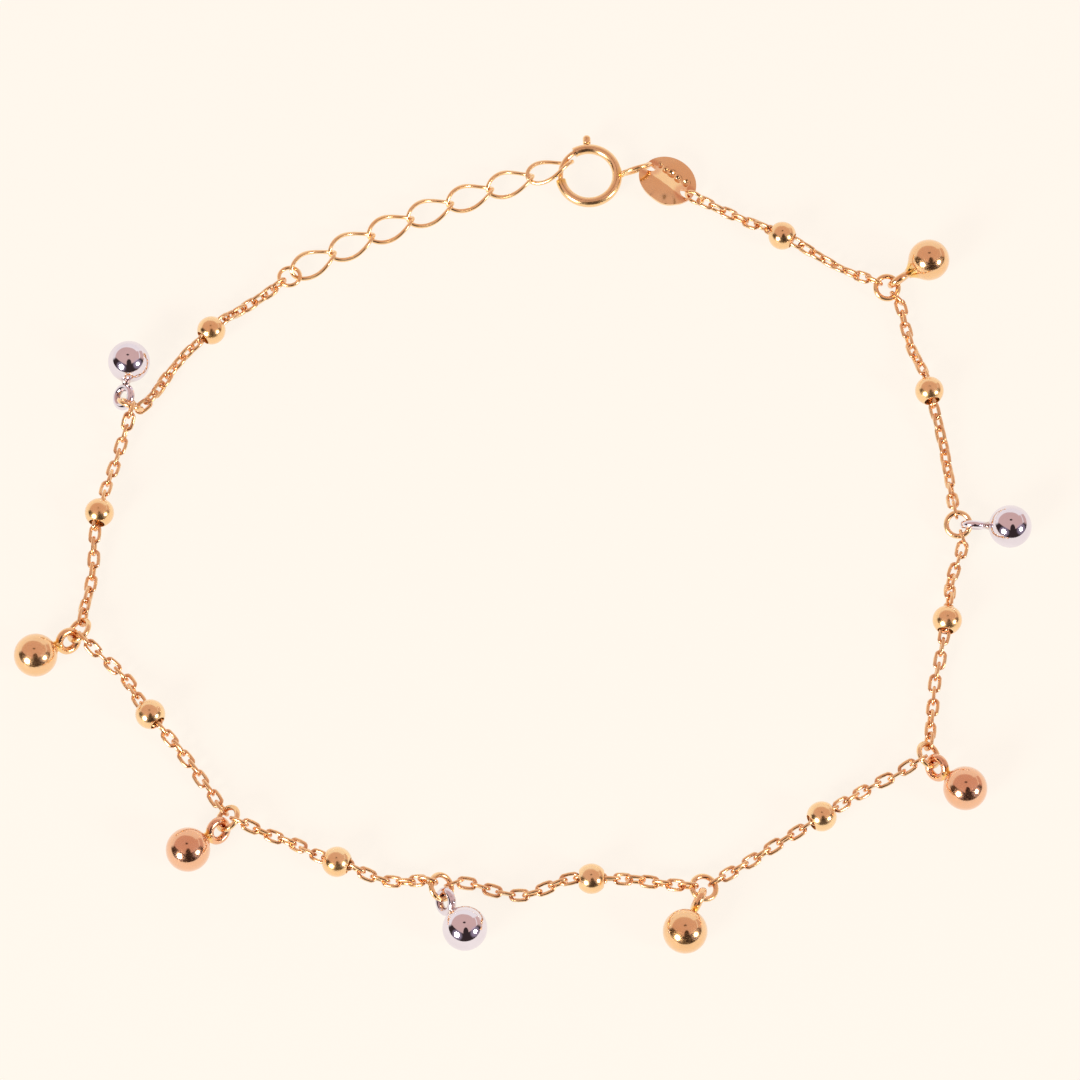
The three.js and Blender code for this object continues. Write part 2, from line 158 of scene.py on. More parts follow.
class Recipe:
    """Writes shader nodes and small sums into a node tree."""

    def __init__(self, tree: bpy.types.NodeTree) -> None:
        """Keep the tree to write in."""
        self.tree = tree

    def fill(self, node: bpy.types.Node, settings: dict[str | int, object]) -> None:
        """Set some of a node's sockets.

        Args:
            node: The node.
            settings: A value, or another node's result, for each socket's name or number.
        """
        for socket, setting in settings.items():
            if isinstance(setting, Socket):
                self.tree.links.new(setting, node.inputs[socket])
            else:
                node.inputs[socket].default_value = setting

    def add(self, kind: str, settings: dict[str | int, object]) -> bpy.types.Node:
        """Add a node.

        Args:
            kind: Its kind.
            settings: What fill puts into its sockets.

        Returns:
            The node.
        """
        node = self.tree.nodes.new(f"ShaderNode{kind}")
        self.fill(node, settings)
        return node

    def noise(self, scale: float, detail: float, place: Socket) -> Socket:
        """Add a cloudy pattern."""
        return self.add("TexNoise", {"Scale": scale, "Detail": detail, "Vector": place}).outputs["Fac"]

    def work(self, operation: str, *terms: object) -> Socket:
        """Add one step of arithmetic.

        Args:
            operation: The name of the step.
            *terms: Its terms, each a number or the result of another step.

        Returns:
            The result.
        """
        node = self.add("Math", dict(enumerate(terms)))
        node.operation = operation
        return node.outputs["Value"]

    def ranged(
        self, value: Socket, span: Span, onto: Span = (0.0, 1.0),
        curve: str = "LINEAR",
    ) -> Socket:
        """Carry a value from one span onto another, and hold it there.

        Args:
            value: The value.
            span: The two values that matter.
            onto: What they become.
            curve: How it runs between them, LINEAR or SMOOTHSTEP.

        Returns:
            The new value.
        """
        node = self.add("MapRange", {
            "Value": value, "From Min": span[0], "From Max": span[1], "To Min": onto[0], "To Max": onto[1],
        })
        node.interpolation_type = curve
        return node.outputs["Result"]

    def bump(self, height: Socket, distance: float, under: dict[str, Socket] | None = None) -> Socket:
        """Add a bump.

        Args:
            height: Its height.
            distance: How high it stands, in metres.
            under: The bump below it, if there is one.

        Returns:
            The bumped normal.
        """
        settings = {"Strength": 1.0, "Distance": distance, "Height": height, **(under or {})}
        return self.add("Bump", settings).outputs["Normal"]

    def oval(self, x: Socket, y: Socket, across: Span, away: Span, size: float) -> Socket:
        """Measure how far inside an oval a direction lies.

        Args:
            x: The direction's share to the right.
            y: Its share away.
            across: How x is stretched and moved.
            away: How y is stretched and moved.
            size: What the oval's middle gives.

        Returns:
            The measure, nothing on the oval's line.
        """
        wide = self.work("POWER", self.work("MULTIPLY_ADD", x, *across), 2.0)
        deep = self.work("POWER", self.work("MULTIPLY_ADD", y, *away), 2.0)
        return self.work("SUBTRACT", size, self.work("ADD", wide, deep))

    def rising(self, value: Socket, span: Span) -> Socket:
        """Turn a value into a smooth step from nothing at one end of a span to all at the other."""
        return self.ranged(value, span, curve="SMOOTHSTEP")

    def painted(
        self, under: Socket | Colour, over: Colour, share: Socket,
    ) -> Socket:
        """Lay one colour over another.

        Args:
            under: The colour below.
            over: The colour laid over it.
            share: How much of it shows.

        Returns:
            The colour that shows.
        """
        node = self.add("Mix", {})
        node.data_type = "RGBA"
        below, above = [i for i, socket in enumerate(node.inputs) if socket.type == "RGBA"]
        lower = under.rgba() if isinstance(under, Colour) else under
        self.fill(node, {"Factor": share, below: lower, above: over.rgba()})
        return next(socket for socket in node.outputs if socket.type == "RGBA")


@dataclass(frozen=True)
class GoldFinish:
    """A polished gold, with the faint cloudiness and hairlines of a worn jewel.

    Attributes:
        metal: Which gold it is.
        base: Its colour.
        tarnish: Its colour where the polish is dull.
        smooth: Lowest roughness.
        dull: Highest roughness.
        solder: The colour of the solder that its joints are made with.
        patina_and_shade: Its colour where pieces cross and touch: partly grime, partly painted shade for the
            shadow and interreflection between them.
        hairline: Height of the polishing lines, in metres.
        ripple: Height of the slow unevenness of the surface, in metres.
        grain: How much rougher its finest grains are.
        lacquer: How much of a clear lacquer lies over it.
    """

    metal: Metal
    base: Colour
    tarnish: Colour
    smooth: float
    dull: float
    solder: Colour
    patina_and_shade: Colour
    hairline: float
    ripple: float
    grain: float
    lacquer: float

    def material(self) -> bpy.types.Material:
        """Build the finish as a node material.

        Returns:
            The material.
        """
        material = bpy.data.materials.new(f"{self.metal.value}_polish")
        material.use_nodes = True
        recipe = Recipe(material.node_tree)
        place = recipe.add("TexCoord", {}).outputs["Object"]

        tint = recipe.add("ValToRGB", {"Fac": recipe.noise(CLOUD_SCALE, 4.0, place)})
        for stop, edge, shown in zip(tint.color_ramp.elements, CLOUD_EDGES, (self.tarnish, self.base)):
            stop.position = edge
            stop.color = shown.rgba()
        colour = tint.outputs["Color"]
        # Where parts cross and touch, a deeper orange-brown is laid over: partly grime, partly painted shade
        # for the shadow and interreflection between them.
        for mark, shown in ((PATINA_AND_SHADE, self.patina_and_shade), (SOLDER, self.solder)):
            share = recipe.add("Attribute", {})
            share.attribute_name = mark
            colour = recipe.painted(colour, shown, share.outputs["Fac"])

        haze = recipe.ranged(recipe.noise(SMEAR_SCALE, 6.0, place), SMEAR_SPAN, (self.smooth, self.dull))
        frosted = recipe.ranged(recipe.noise(GRAIN_SCALE, 1.0, place), GRAIN_SPAN, (0.0, self.grain))
        stretch = recipe.add(
            "Mapping", {"Vector": place, "Rotation": HAIRLINE_TURN, "Scale": HAIRLINE_STRETCH},
        ).outputs["Vector"]
        hairlines = recipe.bump(recipe.noise(HAIRLINE_SCALE, 2.0, stretch), self.hairline)
        ripple = recipe.bump(recipe.noise(RIPPLE_SCALE, 1.0, place), self.ripple, {"Normal": hairlines})
        recipe.fill(material.node_tree.nodes["Principled BSDF"], {
            "Metallic": 1.0,
            "Base Color": colour,
            "Roughness": recipe.work("ADD", haze, frosted),
            "Normal": ripple,
            "Coat Weight": self.lacquer,
            "Coat Roughness": LACQUER_ROUGHNESS,
            "Coat IOR": LACQUER_IOR,
        })
        return material


# Each finish's second line gives its solder colour, then a deeper orange-brown for where parts cross: partly
# grime, partly painted shade.
FINISHES = (
    GoldFinish(
        Metal.CHAIN, Colour(0.98, 0.66, 0.31), Colour(0.96, 0.58, 0.23), 0.16, 0.27,
        Colour(0.98, 0.62, 0.13), Colour(0.8, 0.36, 0.12), 2e-6, 3e-6, 0.15, 1.0,
    ),
    GoldFinish(
        Metal.YELLOW, Colour(0.94, 0.57, 0.25), Colour(0.91, 0.51, 0.19), 0.08, 0.16,
        Colour(0.98, 0.6, 0.12), Colour(0.8, 0.38, 0.12), 1.5e-6, 2e-6, 0.36, 1.0,
    ),
    GoldFinish(
        Metal.ROSE, Colour(0.9, 0.48, 0.26), Colour(0.87, 0.43, 0.2), 0.07, 0.14,
        Colour(0.98, 0.6, 0.12), Colour(0.78, 0.34, 0.14), 1.5e-6, 2e-6, 0.3, 1.0,
    ),
    GoldFinish(
        Metal.WHITE, Colour(0.85, 0.81, 0.9), Colour(0.8, 0.75, 0.84), 0.03, 0.09,
        Colour(0.78, 0.7, 0.7), Colour(0.62, 0.5, 0.52), 4e-7, 1.5e-6, 0.06, 0.0,
    ),
)


class Wardrobe:
    """Hands out one material for each gold."""

    def __init__(self) -> None:
        """Build the four finishes."""
        self.materials = {finish.metal: finish.material() for finish in FINISHES}

    def dress(self, piece: Piece, metal: Metal) -> None:
        """Give a whole piece one finish.

        Args:
            piece: The piece to dress.
            metal: The gold it is made of.
        """
        piece.data.materials.clear()
        piece.data.materials.append(self.materials[metal])


# ---------------------------------------------------------------- the bench


class Bench:
    """The few ways in which a piece is started, shaped and finished."""

    @staticmethod
    def take(*pieces: Piece) -> Piece:
        """Select only the pieces given, the first one active, and return that one.

        Args:
            *pieces: The pieces.

        Returns:
            The first piece.
        """
        bpy.ops.object.select_all(action="DESELECT")
        for piece in pieces:
            piece.select_set(True)
        bpy.context.view_layer.objects.active = pieces[0]
        return pieces[0]

    @staticmethod
    def started(operator: Callable, **sizes: object) -> Piece:
        """Add a primitive with nothing else selected.

        Args:
            operator: The operator that adds it.
            **sizes: The operator's own settings.

        Returns:
            The new object.
        """
        bpy.ops.object.select_all(action="DESELECT")
        operator(**sizes)
        return bpy.context.object

    @staticmethod
    def placed(operator: Callable, **sizes: object) -> Piece:
        """Add a primitive and bake its place and turn into its mesh.

        Args:
            operator: The operator that adds it.
            **sizes: The operator's own settings.

        Returns:
            The new object.
        """
        piece = Bench.started(operator, **sizes)
        bpy.ops.object.transform_apply()
        return piece

    @staticmethod
    @contextmanager
    def editing(piece: Piece) -> Iterator[None]:
        """Work on a piece in edit mode, with nothing in it selected at first.

        Args:
            piece: The piece.
        """
        Bench.take(piece)
        bpy.ops.object.mode_set(mode="EDIT")
        bpy.ops.mesh.select_all(action="DESELECT")
        yield
        bpy.ops.object.mode_set(mode="OBJECT")

    @staticmethod
    def pick(piece: Piece, kind: str, test: Callable[[object], bool]) -> None:
        """Select, in edit mode, just the parts of a mesh that pass a test.

        Args:
            piece: The piece in edit mode.
            kind: VERT, EDGE or FACE.
            test: Says whether a part is wanted.
        """
        bpy.ops.mesh.select_mode(type=kind)
        mesh = bmesh.from_edit_mesh(piece.data)
        for part in {"VERT": mesh.verts, "EDGE": mesh.edges, "FACE": mesh.faces}[kind]:
            part.select_set(test(part))
        mesh.select_flush_mode()
        bmesh.update_edit_mesh(piece.data)

    @staticmethod
    def pick_points(piece: Piece, test: Callable[[Vector], bool]) -> None:
        """Select, in edit mode, just the points that pass a test on their place."""
        Bench.pick(piece, "VERT", lambda point: test(point.co))

    @staticmethod
    def pick_edges(piece: Piece, test: Callable[[Vector, Vector], bool]) -> None:
        """Select, in edit mode, just the edges that pass a test on their two ends."""
        Bench.pick(piece, "EDGE", lambda edge: test(edge.verts[0].co, edge.verts[1].co))

    @staticmethod
    def modified(piece: Piece, kind: str, **settings: object) -> None:
        """Put a modifier on a piece and apply it.

        Args:
            piece: The piece.
            kind: The modifier's kind.
            **settings: Its settings.
        """
        modifier = piece.modifiers.new(kind.lower(), kind)
        for name, setting in settings.items():
            setattr(modifier, name, setting)
        Bench.take(piece)
        bpy.ops.object.modifier_apply(modifier=modifier.name)

    @staticmethod
    def carve(piece: Piece, tool: Piece, operation: str) -> None:
        """Join or cut a piece with another, which is used up.

        Args:
            piece: The piece that is kept.
            tool: The piece that it is joined to or cut by.
            operation: UNION or DIFFERENCE.
        """
        Bench.modified(piece, "BOOLEAN", operation=operation, solver="EXACT", object=tool)
        bpy.data.objects.remove(tool)

    @staticmethod
    def round_edges(piece: Piece, width: float, degrees: float) -> None:
        """Round every edge sharper than an angle.

        Args:
            piece: The piece to finish.
            width: Width of the rounding, in the piece's own units.
            degrees: Edges that bend less than this stay as they are.
        """
        limit = math.radians(degrees)
        Bench.modified(piece, "BEVEL", width=width, segments=3, limit_method="ANGLE", angle_limit=limit)

    @staticmethod
    def tidied(piece: Piece) -> None:
        """Merge the doubles of a piece and turn its faces outwards.

        Args:
            piece: The piece.
        """
        with Bench.editing(piece):
            bpy.ops.mesh.select_all(action="SELECT")
            bpy.ops.mesh.remove_doubles(threshold=1e-4)
            bpy.ops.mesh.normals_make_consistent(inside=False)

    @staticmethod
    def marked(piece: Piece, mark: str, share: Callable[[Vector], float]) -> None:
        """Mark how much of something shows at each point of a piece.

        Args:
            piece: The piece.
            mark: What shows: SOLDER, or PATINA_AND_SHADE, which is partly grime and partly painted shade.
            share: Gives the share at a place, held between nothing and all.
        """
        layer = piece.data.attributes.new(mark, "FLOAT", "POINT")
        for spot, point in zip(layer.data, piece.data.vertices):
            spot.value = min(1.0, max(0.0, share(point.co)))

    @staticmethod
    def copied(master: Piece, place: Matrix) -> Piece:
        """Copy a modelled piece with a mesh of its own, at a place.

        Args:
            master: The modelled piece.
            place: Where the copy goes, in millimetres.

        Returns:
            The copy, still in millimetres.
        """
        copy = master.copy()
        copy.data = master.data.copy()
        copy.data.transform(place)
        bpy.context.scene.collection.objects.link(copy)
        return copy

    @staticmethod
    def settled(piece: Piece, name: str, crease: float) -> None:
        """Bring a finished piece from millimetres into the frame and shade it.

        Args:
            piece: The piece, with its place in its mesh.
            name: Its final name.
            crease: Edges that bend more than this many degrees stay crisp.
        """
        piece.data.transform(piece.matrix_world)
        piece.matrix_world = Matrix.Identity(4)
        piece.data.transform(Matrix.Scale(MM, 4))
        piece.name = name
        piece.data.name = name
        Bench.take(piece)
        bpy.ops.object.shade_smooth_by_angle(angle=math.radians(crease))

    @staticmethod
    def joined(pieces: list[Piece]) -> Piece:
        """Join pieces into the first one.

        Args:
            pieces: The pieces.

        Returns:
            The first piece, with the others in it.
        """
        Bench.take(*pieces)
        bpy.ops.object.join()
        return pieces[0]

    @staticmethod
    def hoop(radius: float, wire: float, around: int, sides: int) -> Piece:
        """Model a closed ring of round wire round the origin.

        Args:
            radius: Radius of the wire's centreline.
            wire: Thickness of the wire.
            around: Steps round the ring.
            sides: Sides of the wire.

        Returns:
            The ring, lying level.
        """
        return Bench.started(
            bpy.ops.mesh.primitive_torus_add, major_segments=around, minor_segments=sides,
            major_radius=radius, minor_radius=wire / 2,
        )

    @staticmethod
    def arc_rod(radius: float, start: float, end: float, thickness: float, sides: int) -> Piece:
        """Model a rod bent round the origin in the level plane.

        Args:
            radius: Radius of the bend.
            start: Angle where it starts, in degrees.
            end: Angle where it ends, in degrees.
            thickness: Radius of the rod.
            sides: Sides of its section, a multiple of four.

        Returns:
            The rod as a closed mesh.
        """
        steps = max(2, round(abs(end - start) / ROD_STEP))
        curve = bpy.data.curves.new("rod", "CURVE")
        curve.dimensions = "3D"
        curve.bevel_depth = thickness
        curve.bevel_resolution = sides // 2 - 2
        curve.use_fill_caps = True
        line = curve.splines.new("POLY")
        line.points.add(steps)
        for i, point in enumerate(line.points):
            spot = level(start + (end - start) * i / steps) * radius
            point.co = (*spot, 1.0)
        rod = bpy.data.objects.new("rod", curve)
        bpy.context.scene.collection.objects.link(rod)
        Bench.take(rod)
        bpy.ops.object.convert(target="MESH")
        rod = bpy.context.object
        Bench.tidied(rod)
        return rod


def finished(
    piece: Piece, name: str, node: str, wardrobe: Wardrobe, metal: Metal = Metal.CHAIN,
    body: str = BRACELET_BODY, crease: float = 40.0,
) -> None:
    """Settle and dress a piece, seat it on its body, hide the node it stands for and log it.

    Args:
        piece: The piece, still in millimetres.
        name: Its final name.
        node: The CAD node that it replaces.
        wardrobe: The finishes.
        metal: The gold it is made of.
        body: The body it moves with.
        crease: Edges that bend more than this many degrees stay crisp.
    """
    Bench.settled(piece, name, crease)
    wardrobe.dress(piece, metal)
    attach(piece, body)
    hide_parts(node)
    LOG.info("%s for %s: %d faces", name, node, len(piece.data.polygons))


# ---------------------------------------------------------------- ball drops and jump rings


@dataclass(frozen=True)
class DropPlace:
    """How one ball drop lies.

    Attributes:
        metal: Its gold.
        x: Where its ball lies.
        y: Where its ball lies.
        heading: From its jump ring out to its ball, in degrees.
        tilt: How far its loop tilts from upright, in degrees.
        fold: How far its jump ring folds up from the line of the drop, in degrees.
        collar: Radius at which the solder at its neck meets the ball.
    """

    metal: Metal
    x: float
    y: float
    heading: float
    tilt: float
    fold: float
    collar: float


DROP_PLACES = (
    DropPlace(Metal.YELLOW, 29.15, 20.99, 31, 19, 8, 0.95),
    DropPlace(Metal.WHITE, 33.85, -0.41, -9, 22, 10, 0.4),
    DropPlace(Metal.ROSE, 29.7, -20.01, -45, -35, 32, 0.62),
    DropPlace(Metal.YELLOW, 10.55, -30.16, -112, -10, 4, 0.4),
    DropPlace(Metal.WHITE, -4.1, -29.96, -58, -35, 34, 0.4),
    DropPlace(Metal.ROSE, -22.75, -24.41, -140, 35, 32, 0.62),
    DropPlace(Metal.YELLOW, -33.85, -10.21, -147, 35, 32, 0.62),
    DropPlace(Metal.WHITE, -28.55, 12.64, 82, 54, 70, 0.4),
)


@dataclass(frozen=True)
class HangingRing:
    """A ring that chain hangs on.

    Attributes:
        centre: Its centre.
        normal: The axis through it.
        radius: Radius of its wire's centreline.
        wire: Thickness of its wire.
        start: A direction in its plane, towards what it hangs on.
    """

    centre: Vector
    normal: Vector
    radius: float
    wire: float
    start: Vector

    def place(self) -> Matrix:
        """Return the ring's transform."""
        return frame_at(self.centre, self.start, self.normal)

    def small(self) -> Piece:
        """Model the ring in its place, as one of the two small ones.

        Returns:
            The ring, in millimetres.
        """
        ring = Bench.hoop(self.radius, self.wire, SMALL_RING_STEPS, 14)
        ring.data.transform(self.place())
        return ring


@dataclass
class BallDrops:
    """The eight drops and the jump rings they hang on."""

    ball_radius: float = 1.5
    loop_radius: float = 0.7
    loop_wire: float = 0.56
    loop_solid_wire: float = 0.46
    from_ball: float = 2.58
    waist: float = 0.36
    waist_share: float = 0.62
    neck_steps: int = 6
    neck_sunk: float = 0.02
    solder_from: float = 0.72
    solder_to: float = 1.3
    ring_radius: float = 0.83
    ring_wire: float = 0.34
    ring_swell: float = 1.12
    seam_depth: float = 0.015
    seam_share: float = 0.4
    # The three fields below set painted shade mixed with grime: darker towards the inside of each loop and
    # jump ring, where they pass through each other.
    patina_and_shade: float = 1.6
    patina_and_shade_span: float = 0.3
    ring_patina_and_shade: float = 4.0
    rings: list[HangingRing] = field(default_factory=list)

    def rise(self, tilt: float) -> float:
        """Work out how far a drop rises from its loop to its ball when both touch the floor.

        Args:
            tilt: The tilt of its loop, in degrees.

        Returns:
            The rise in degrees.
        """
        lean = math.radians(tilt)
        rise = 0.0
        for _ in range(4):
            reach = self.loop_radius * math.hypot(math.cos(lean), math.sin(lean) * math.sin(rise))
            rise = math.asin((self.ball_radius - reach - self.loop_solid_wire / 2) / self.from_ball)
        return math.degrees(rise)

    def lay(self, spot: DropPlace) -> tuple[Matrix, HangingRing]:
        """Work out where a drop's loop and its jump ring lie.

        Args:
            spot: How the drop lies.

        Returns:
            The drop's transform, and its jump ring.
        """
        ball = Vector((spot.x, spot.y, self.ball_radius))
        to_ball = turned(level(spot.heading), UP, self.rise(spot.tilt))
        side = UP.cross(to_ball).normalized()
        across = turned(side, to_ball.cross(side), spot.tilt)
        loop = ball - to_ball * self.from_ball
        slack = self.loop_radius - (self.loop_solid_wire + self.ring_wire) / 2 - CLEARANCE
        to_loop = turned(to_ball, across.cross(to_ball) * -1, -spot.fold)
        ring = loop - to_ball * slack - to_loop * self.ring_radius
        hanging = HangingRing(ring, to_loop.cross(across), self.ring_radius, self.ring_wire, to_loop)
        return frame_at(loop, to_ball, across), hanging

    def neck(self, collar: float) -> Piece:
        """Model the solder that flows from the ball down to the loop.

        Args:
            collar: Radius at which it meets the ball.

        Returns:
            The neck, narrowing towards the loop.
        """
        waist = min(self.waist, self.waist_share * collar)
        root = self.from_ball - math.sqrt(self.ball_radius**2 - collar**2)
        slope = math.sqrt(self.ball_radius**2 - collar**2) / collar
        start = Vector((root, collar))
        end = Vector((self.loop_radius, waist))
        elbow = Vector((max(root - (collar - waist) / slope, self.loop_radius), waist))
        neck = Bench.placed(
            bpy.ops.mesh.primitive_circle_add, vertices=40, radius=collar, fill_type="NGON",
            location=(root + self.neck_sunk, 0, 0), rotation=(0, -math.pi / 2, 0),
        )
        at = Vector((root + self.neck_sunk, collar))
        with Bench.editing(neck):
            bpy.ops.mesh.select_all(action="SELECT")
            for i in range(1, self.neck_steps + 1):
                t = i / self.neck_steps
                spot = start.lerp(elbow, t).lerp(elbow.lerp(end, t), t)
                bpy.ops.mesh.extrude_region_move(TRANSFORM_OT_translate={"value": (spot.x - at.x, 0, 0)})
                narrowing = spot.y / at.y
                bpy.ops.transform.resize(value=(1, narrowing, narrowing))
                at = spot
        Bench.tidied(neck)
        return neck

    def drop(self, collar: float) -> Piece:
        """Model one drop: a ball, the solder at its neck and its thick loop.

        Args:
            collar: Radius at which the solder meets the ball.

        Returns:
            The drop, its loop round the origin.
        """
        drop = Bench.placed(
            bpy.ops.mesh.primitive_uv_sphere_add, segments=56, ring_count=30, radius=self.ball_radius,
            location=(self.from_ball, 0, 0), rotation=(0, -math.pi / 2, 0),
        )
        loop = Bench.hoop(self.loop_radius, self.loop_wire, SMALL_RING_STEPS, 20)
        Bench.carve(drop, self.neck(collar), "UNION")
        Bench.carve(drop, loop, "UNION")
        middle = (self.solder_from + self.solder_to) / 2
        half = (self.solder_to - self.solder_from) / 2
        Bench.marked(drop, SOLDER, lambda point: 2.0 - 2.0 * abs(point.x - middle) / half)
        # Painted shade, with grime: darker towards the inside of the loop, where the jump ring passes
        # through.
        Bench.marked(
            drop, PATINA_AND_SHADE,
            lambda point: self.patina_and_shade * (1.0 - point.length / self.loop_radius) / self.patina_and_shade_span,
        )
        return drop

    def jump_ring(self) -> Piece:
        """Model one jump ring, with the hairline where its ends meet.

        Returns:
            The ring, round the origin and level.
        """
        ring = Bench.hoop(self.ring_radius, self.ring_wire * self.ring_swell, RING_STEPS, 16)
        seam = self.ring_radius * math.radians(360 / RING_STEPS) * self.seam_share
        with Bench.editing(ring):
            Bench.pick_points(ring, lambda point: point.y < 0 and abs(point.x) < seam)
            bpy.ops.transform.shrink_fatten(value=-self.seam_depth)
        # Painted shade, with grime: darker towards the inside of the ring, where the loop and the chain pass
        # through.
        Bench.marked(ring, PATINA_AND_SHADE, lambda point: self.ring_patina_and_shade * (1.0 - point.length / self.ring_radius))
        return ring

    def build(self, wardrobe: Wardrobe) -> None:
        """Model, copy and place the drops and their rings.

        Args:
            wardrobe: The finishes.
        """
        ring = self.jump_ring()
        drops = {collar: self.drop(collar) for collar in sorted({spot.collar for spot in DROP_PLACES})}
        for number, spot in enumerate(DROP_PLACES, 1):
            place, hanging = self.lay(spot)
            self.rings.append(hanging)
            piece = Bench.copied(drops[spot.collar], place)
            finished(piece, f"polished_drop_{number}", f"ball_drop_{number}", wardrobe, spot.metal)
            band = Bench.copied(ring, hanging.place())
            finished(band, f"wire_ring_{number}", f"jump_ring_{number}", wardrobe)
        for master in (*drops.values(), ring):
            bpy.data.objects.remove(master)


# ---------------------------------------------------------------- clasp


@dataclass
class Clasp:
    """The spring ring, its eye, and the sprung bolt with its thumb knob."""

    centre: Vector = field(default_factory=lambda: Vector((4.5, 28.49, 0.84)))
    lean: float = 10.0
    radius: float = 2.09
    tube: float = 0.37
    bore: float = 0.235
    gap_upper: float = 121.0
    gap_lower: float = 190.0
    bore_end: float = -20.0
    socket_end: float = 203.0
    slot_from: float = 14.0
    slot_to: float = 99.0
    slot_half: float = 0.2
    bolt: float = 0.2
    bolt_from: float = 78.0
    bolt_to: float = 198.0
    knob_angle: float = 93.0
    knob_base: float = 2.5
    knob: float = 0.29
    knob_length: float = 0.64
    knob_neck: float = 0.14
    eye: float = 1.11
    eye_wire: float = 0.34
    eye_heading: float = 19.0
    eye_solder: float = 3.0
    eye_lean: float = 24.0
    tag_at: float = -16.0
    link_at: float = 157.0
    solder: float = 0.2
    solder_out: float = 0.02
    solder_shape: tuple[float, float, float] = (0.9, 1.3, 1.0)
    solder_reach: float = 0.6
    band: float = 2.0
    shell_round: float = 0.04
    bolt_round: float = 0.08
    knob_round: float = 0.05
    knob_sunk: float = 0.1
    knob_rim: float = 0.9
    knob_crown: float = 0.6
    knob_dome: float = 0.16

    def place(self) -> Matrix:
        """Return the clasp's transform: lying with its far side raised a little."""
        return Matrix.Translation(self.centre) @ Matrix.Rotation(math.radians(self.lean), 4, "X")

    def eye_ring(self) -> HangingRing:
        """Work out where the eye stands, soldered at its near side and touching the floor.

        Returns:
            The eye.
        """
        solder = self.place() @ (level(self.eye_solder) * (self.radius + self.tube))
        outward = level(self.eye_heading)
        upward = turned(UP, outward.cross(UP), self.eye_lean)
        height = self.eye * upward.z + self.eye_wire / 2
        rise = (height - solder.z) / upward.z
        inset = math.sqrt(self.eye**2 - rise**2)
        centre = solder + outward * inset + upward * rise
        return HangingRing(centre, outward.cross(upward), self.eye, self.eye_wire, outward)

    def tag_seat(self) -> Vector:
        """Return the point of the eye's wire that the tag hangs on.

        Returns:
            The point, in millimetres.
        """
        eye = self.eye_ring()
        upward = eye.normal.cross(eye.start)
        return eye.centre + turned(eye.start, upward, self.tag_at) * eye.radius

    def link_seat(self) -> Vector:
        """Return the point of the bolt that the extender hangs on."""
        return self.place() @ (level(self.link_at) * self.radius)

    def slot(self) -> Piece:
        """Model the cutter for the knob's slot: a strip bent round the outside of the tube.

        Returns:
            The cutter.
        """
        strip = Bench.placed(bpy.ops.mesh.primitive_plane_add, size=1.0, rotation=(math.pi / 2, 0, 0))
        with Bench.editing(strip):
            bpy.ops.mesh.select_all(action="SELECT")
            bpy.ops.transform.resize(value=(2 * self.tube, 1, 2 * self.slot_half))
            bpy.ops.transform.translate(value=(self.radius + self.tube, 0, 0))
            bpy.ops.mesh.spin(
                steps=24, angle=math.radians(self.slot_from - self.slot_to), center=(0, 0, 0), axis=(0, 0, 1),
            )
        strip.data.transform(Matrix.Rotation(math.radians(self.slot_from), 4, "Z"))
        Bench.tidied(strip)
        return strip

    def shell(self) -> Piece:
        """Model the hollow ring: the tube, its bore, the slot, the eye and the solder at the eye.

        Returns:
            The shell, round the origin and level.
        """
        shell = Bench.arc_rod(self.radius, self.gap_lower, self.gap_upper + 360, self.tube, 32)
        Bench.round_edges(shell, self.shell_round, 60)
        for mouth, end in (
            (self.gap_upper + OVERRUN, self.bore_end), (self.gap_lower - OVERRUN, self.socket_end),
        ):
            Bench.carve(shell, Bench.arc_rod(self.radius, mouth, end, self.bore, 16), "DIFFERENCE")
        Bench.carve(shell, self.slot(), "DIFFERENCE")
        ring = self.eye_ring()
        eye = Bench.hoop(ring.radius, ring.wire, RING_STEPS, 20)
        eye.data.transform(self.place().inverted() @ ring.place())
        Bench.carve(shell, eye, "UNION")
        solder = Bench.started(
            bpy.ops.mesh.primitive_uv_sphere_add, segments=24, ring_count=16, radius=self.solder,
            location=level(self.eye_solder) * (self.radius + self.tube + self.solder_out),
            scale=self.solder_shape,
        )
        Bench.carve(shell, solder, "UNION")
        joints = (
            level(self.eye_solder) * (self.radius + self.tube),
            level(self.gap_lower + self.band) * self.radius,
        )
        Bench.marked(
            shell, SOLDER,
            lambda point: 3 * max(1 - (point - joint).length / self.solder_reach for joint in joints),
        )
        return shell

    @staticmethod
    def barrel(sides: int, radius: float, foot: float, length: float) -> Piece:
        """Model a cylinder that stands out along y from a foot.

        Args:
            sides: Its sides.
            radius: Its radius.
            foot: How far out it starts.
            length: Its length.

        Returns:
            The cylinder.
        """
        return Bench.placed(
            bpy.ops.mesh.primitive_cylinder_add, vertices=sides, radius=radius, depth=length,
            location=(0, foot + length / 2, 0), rotation=(math.pi / 2, 0, 0),
        )

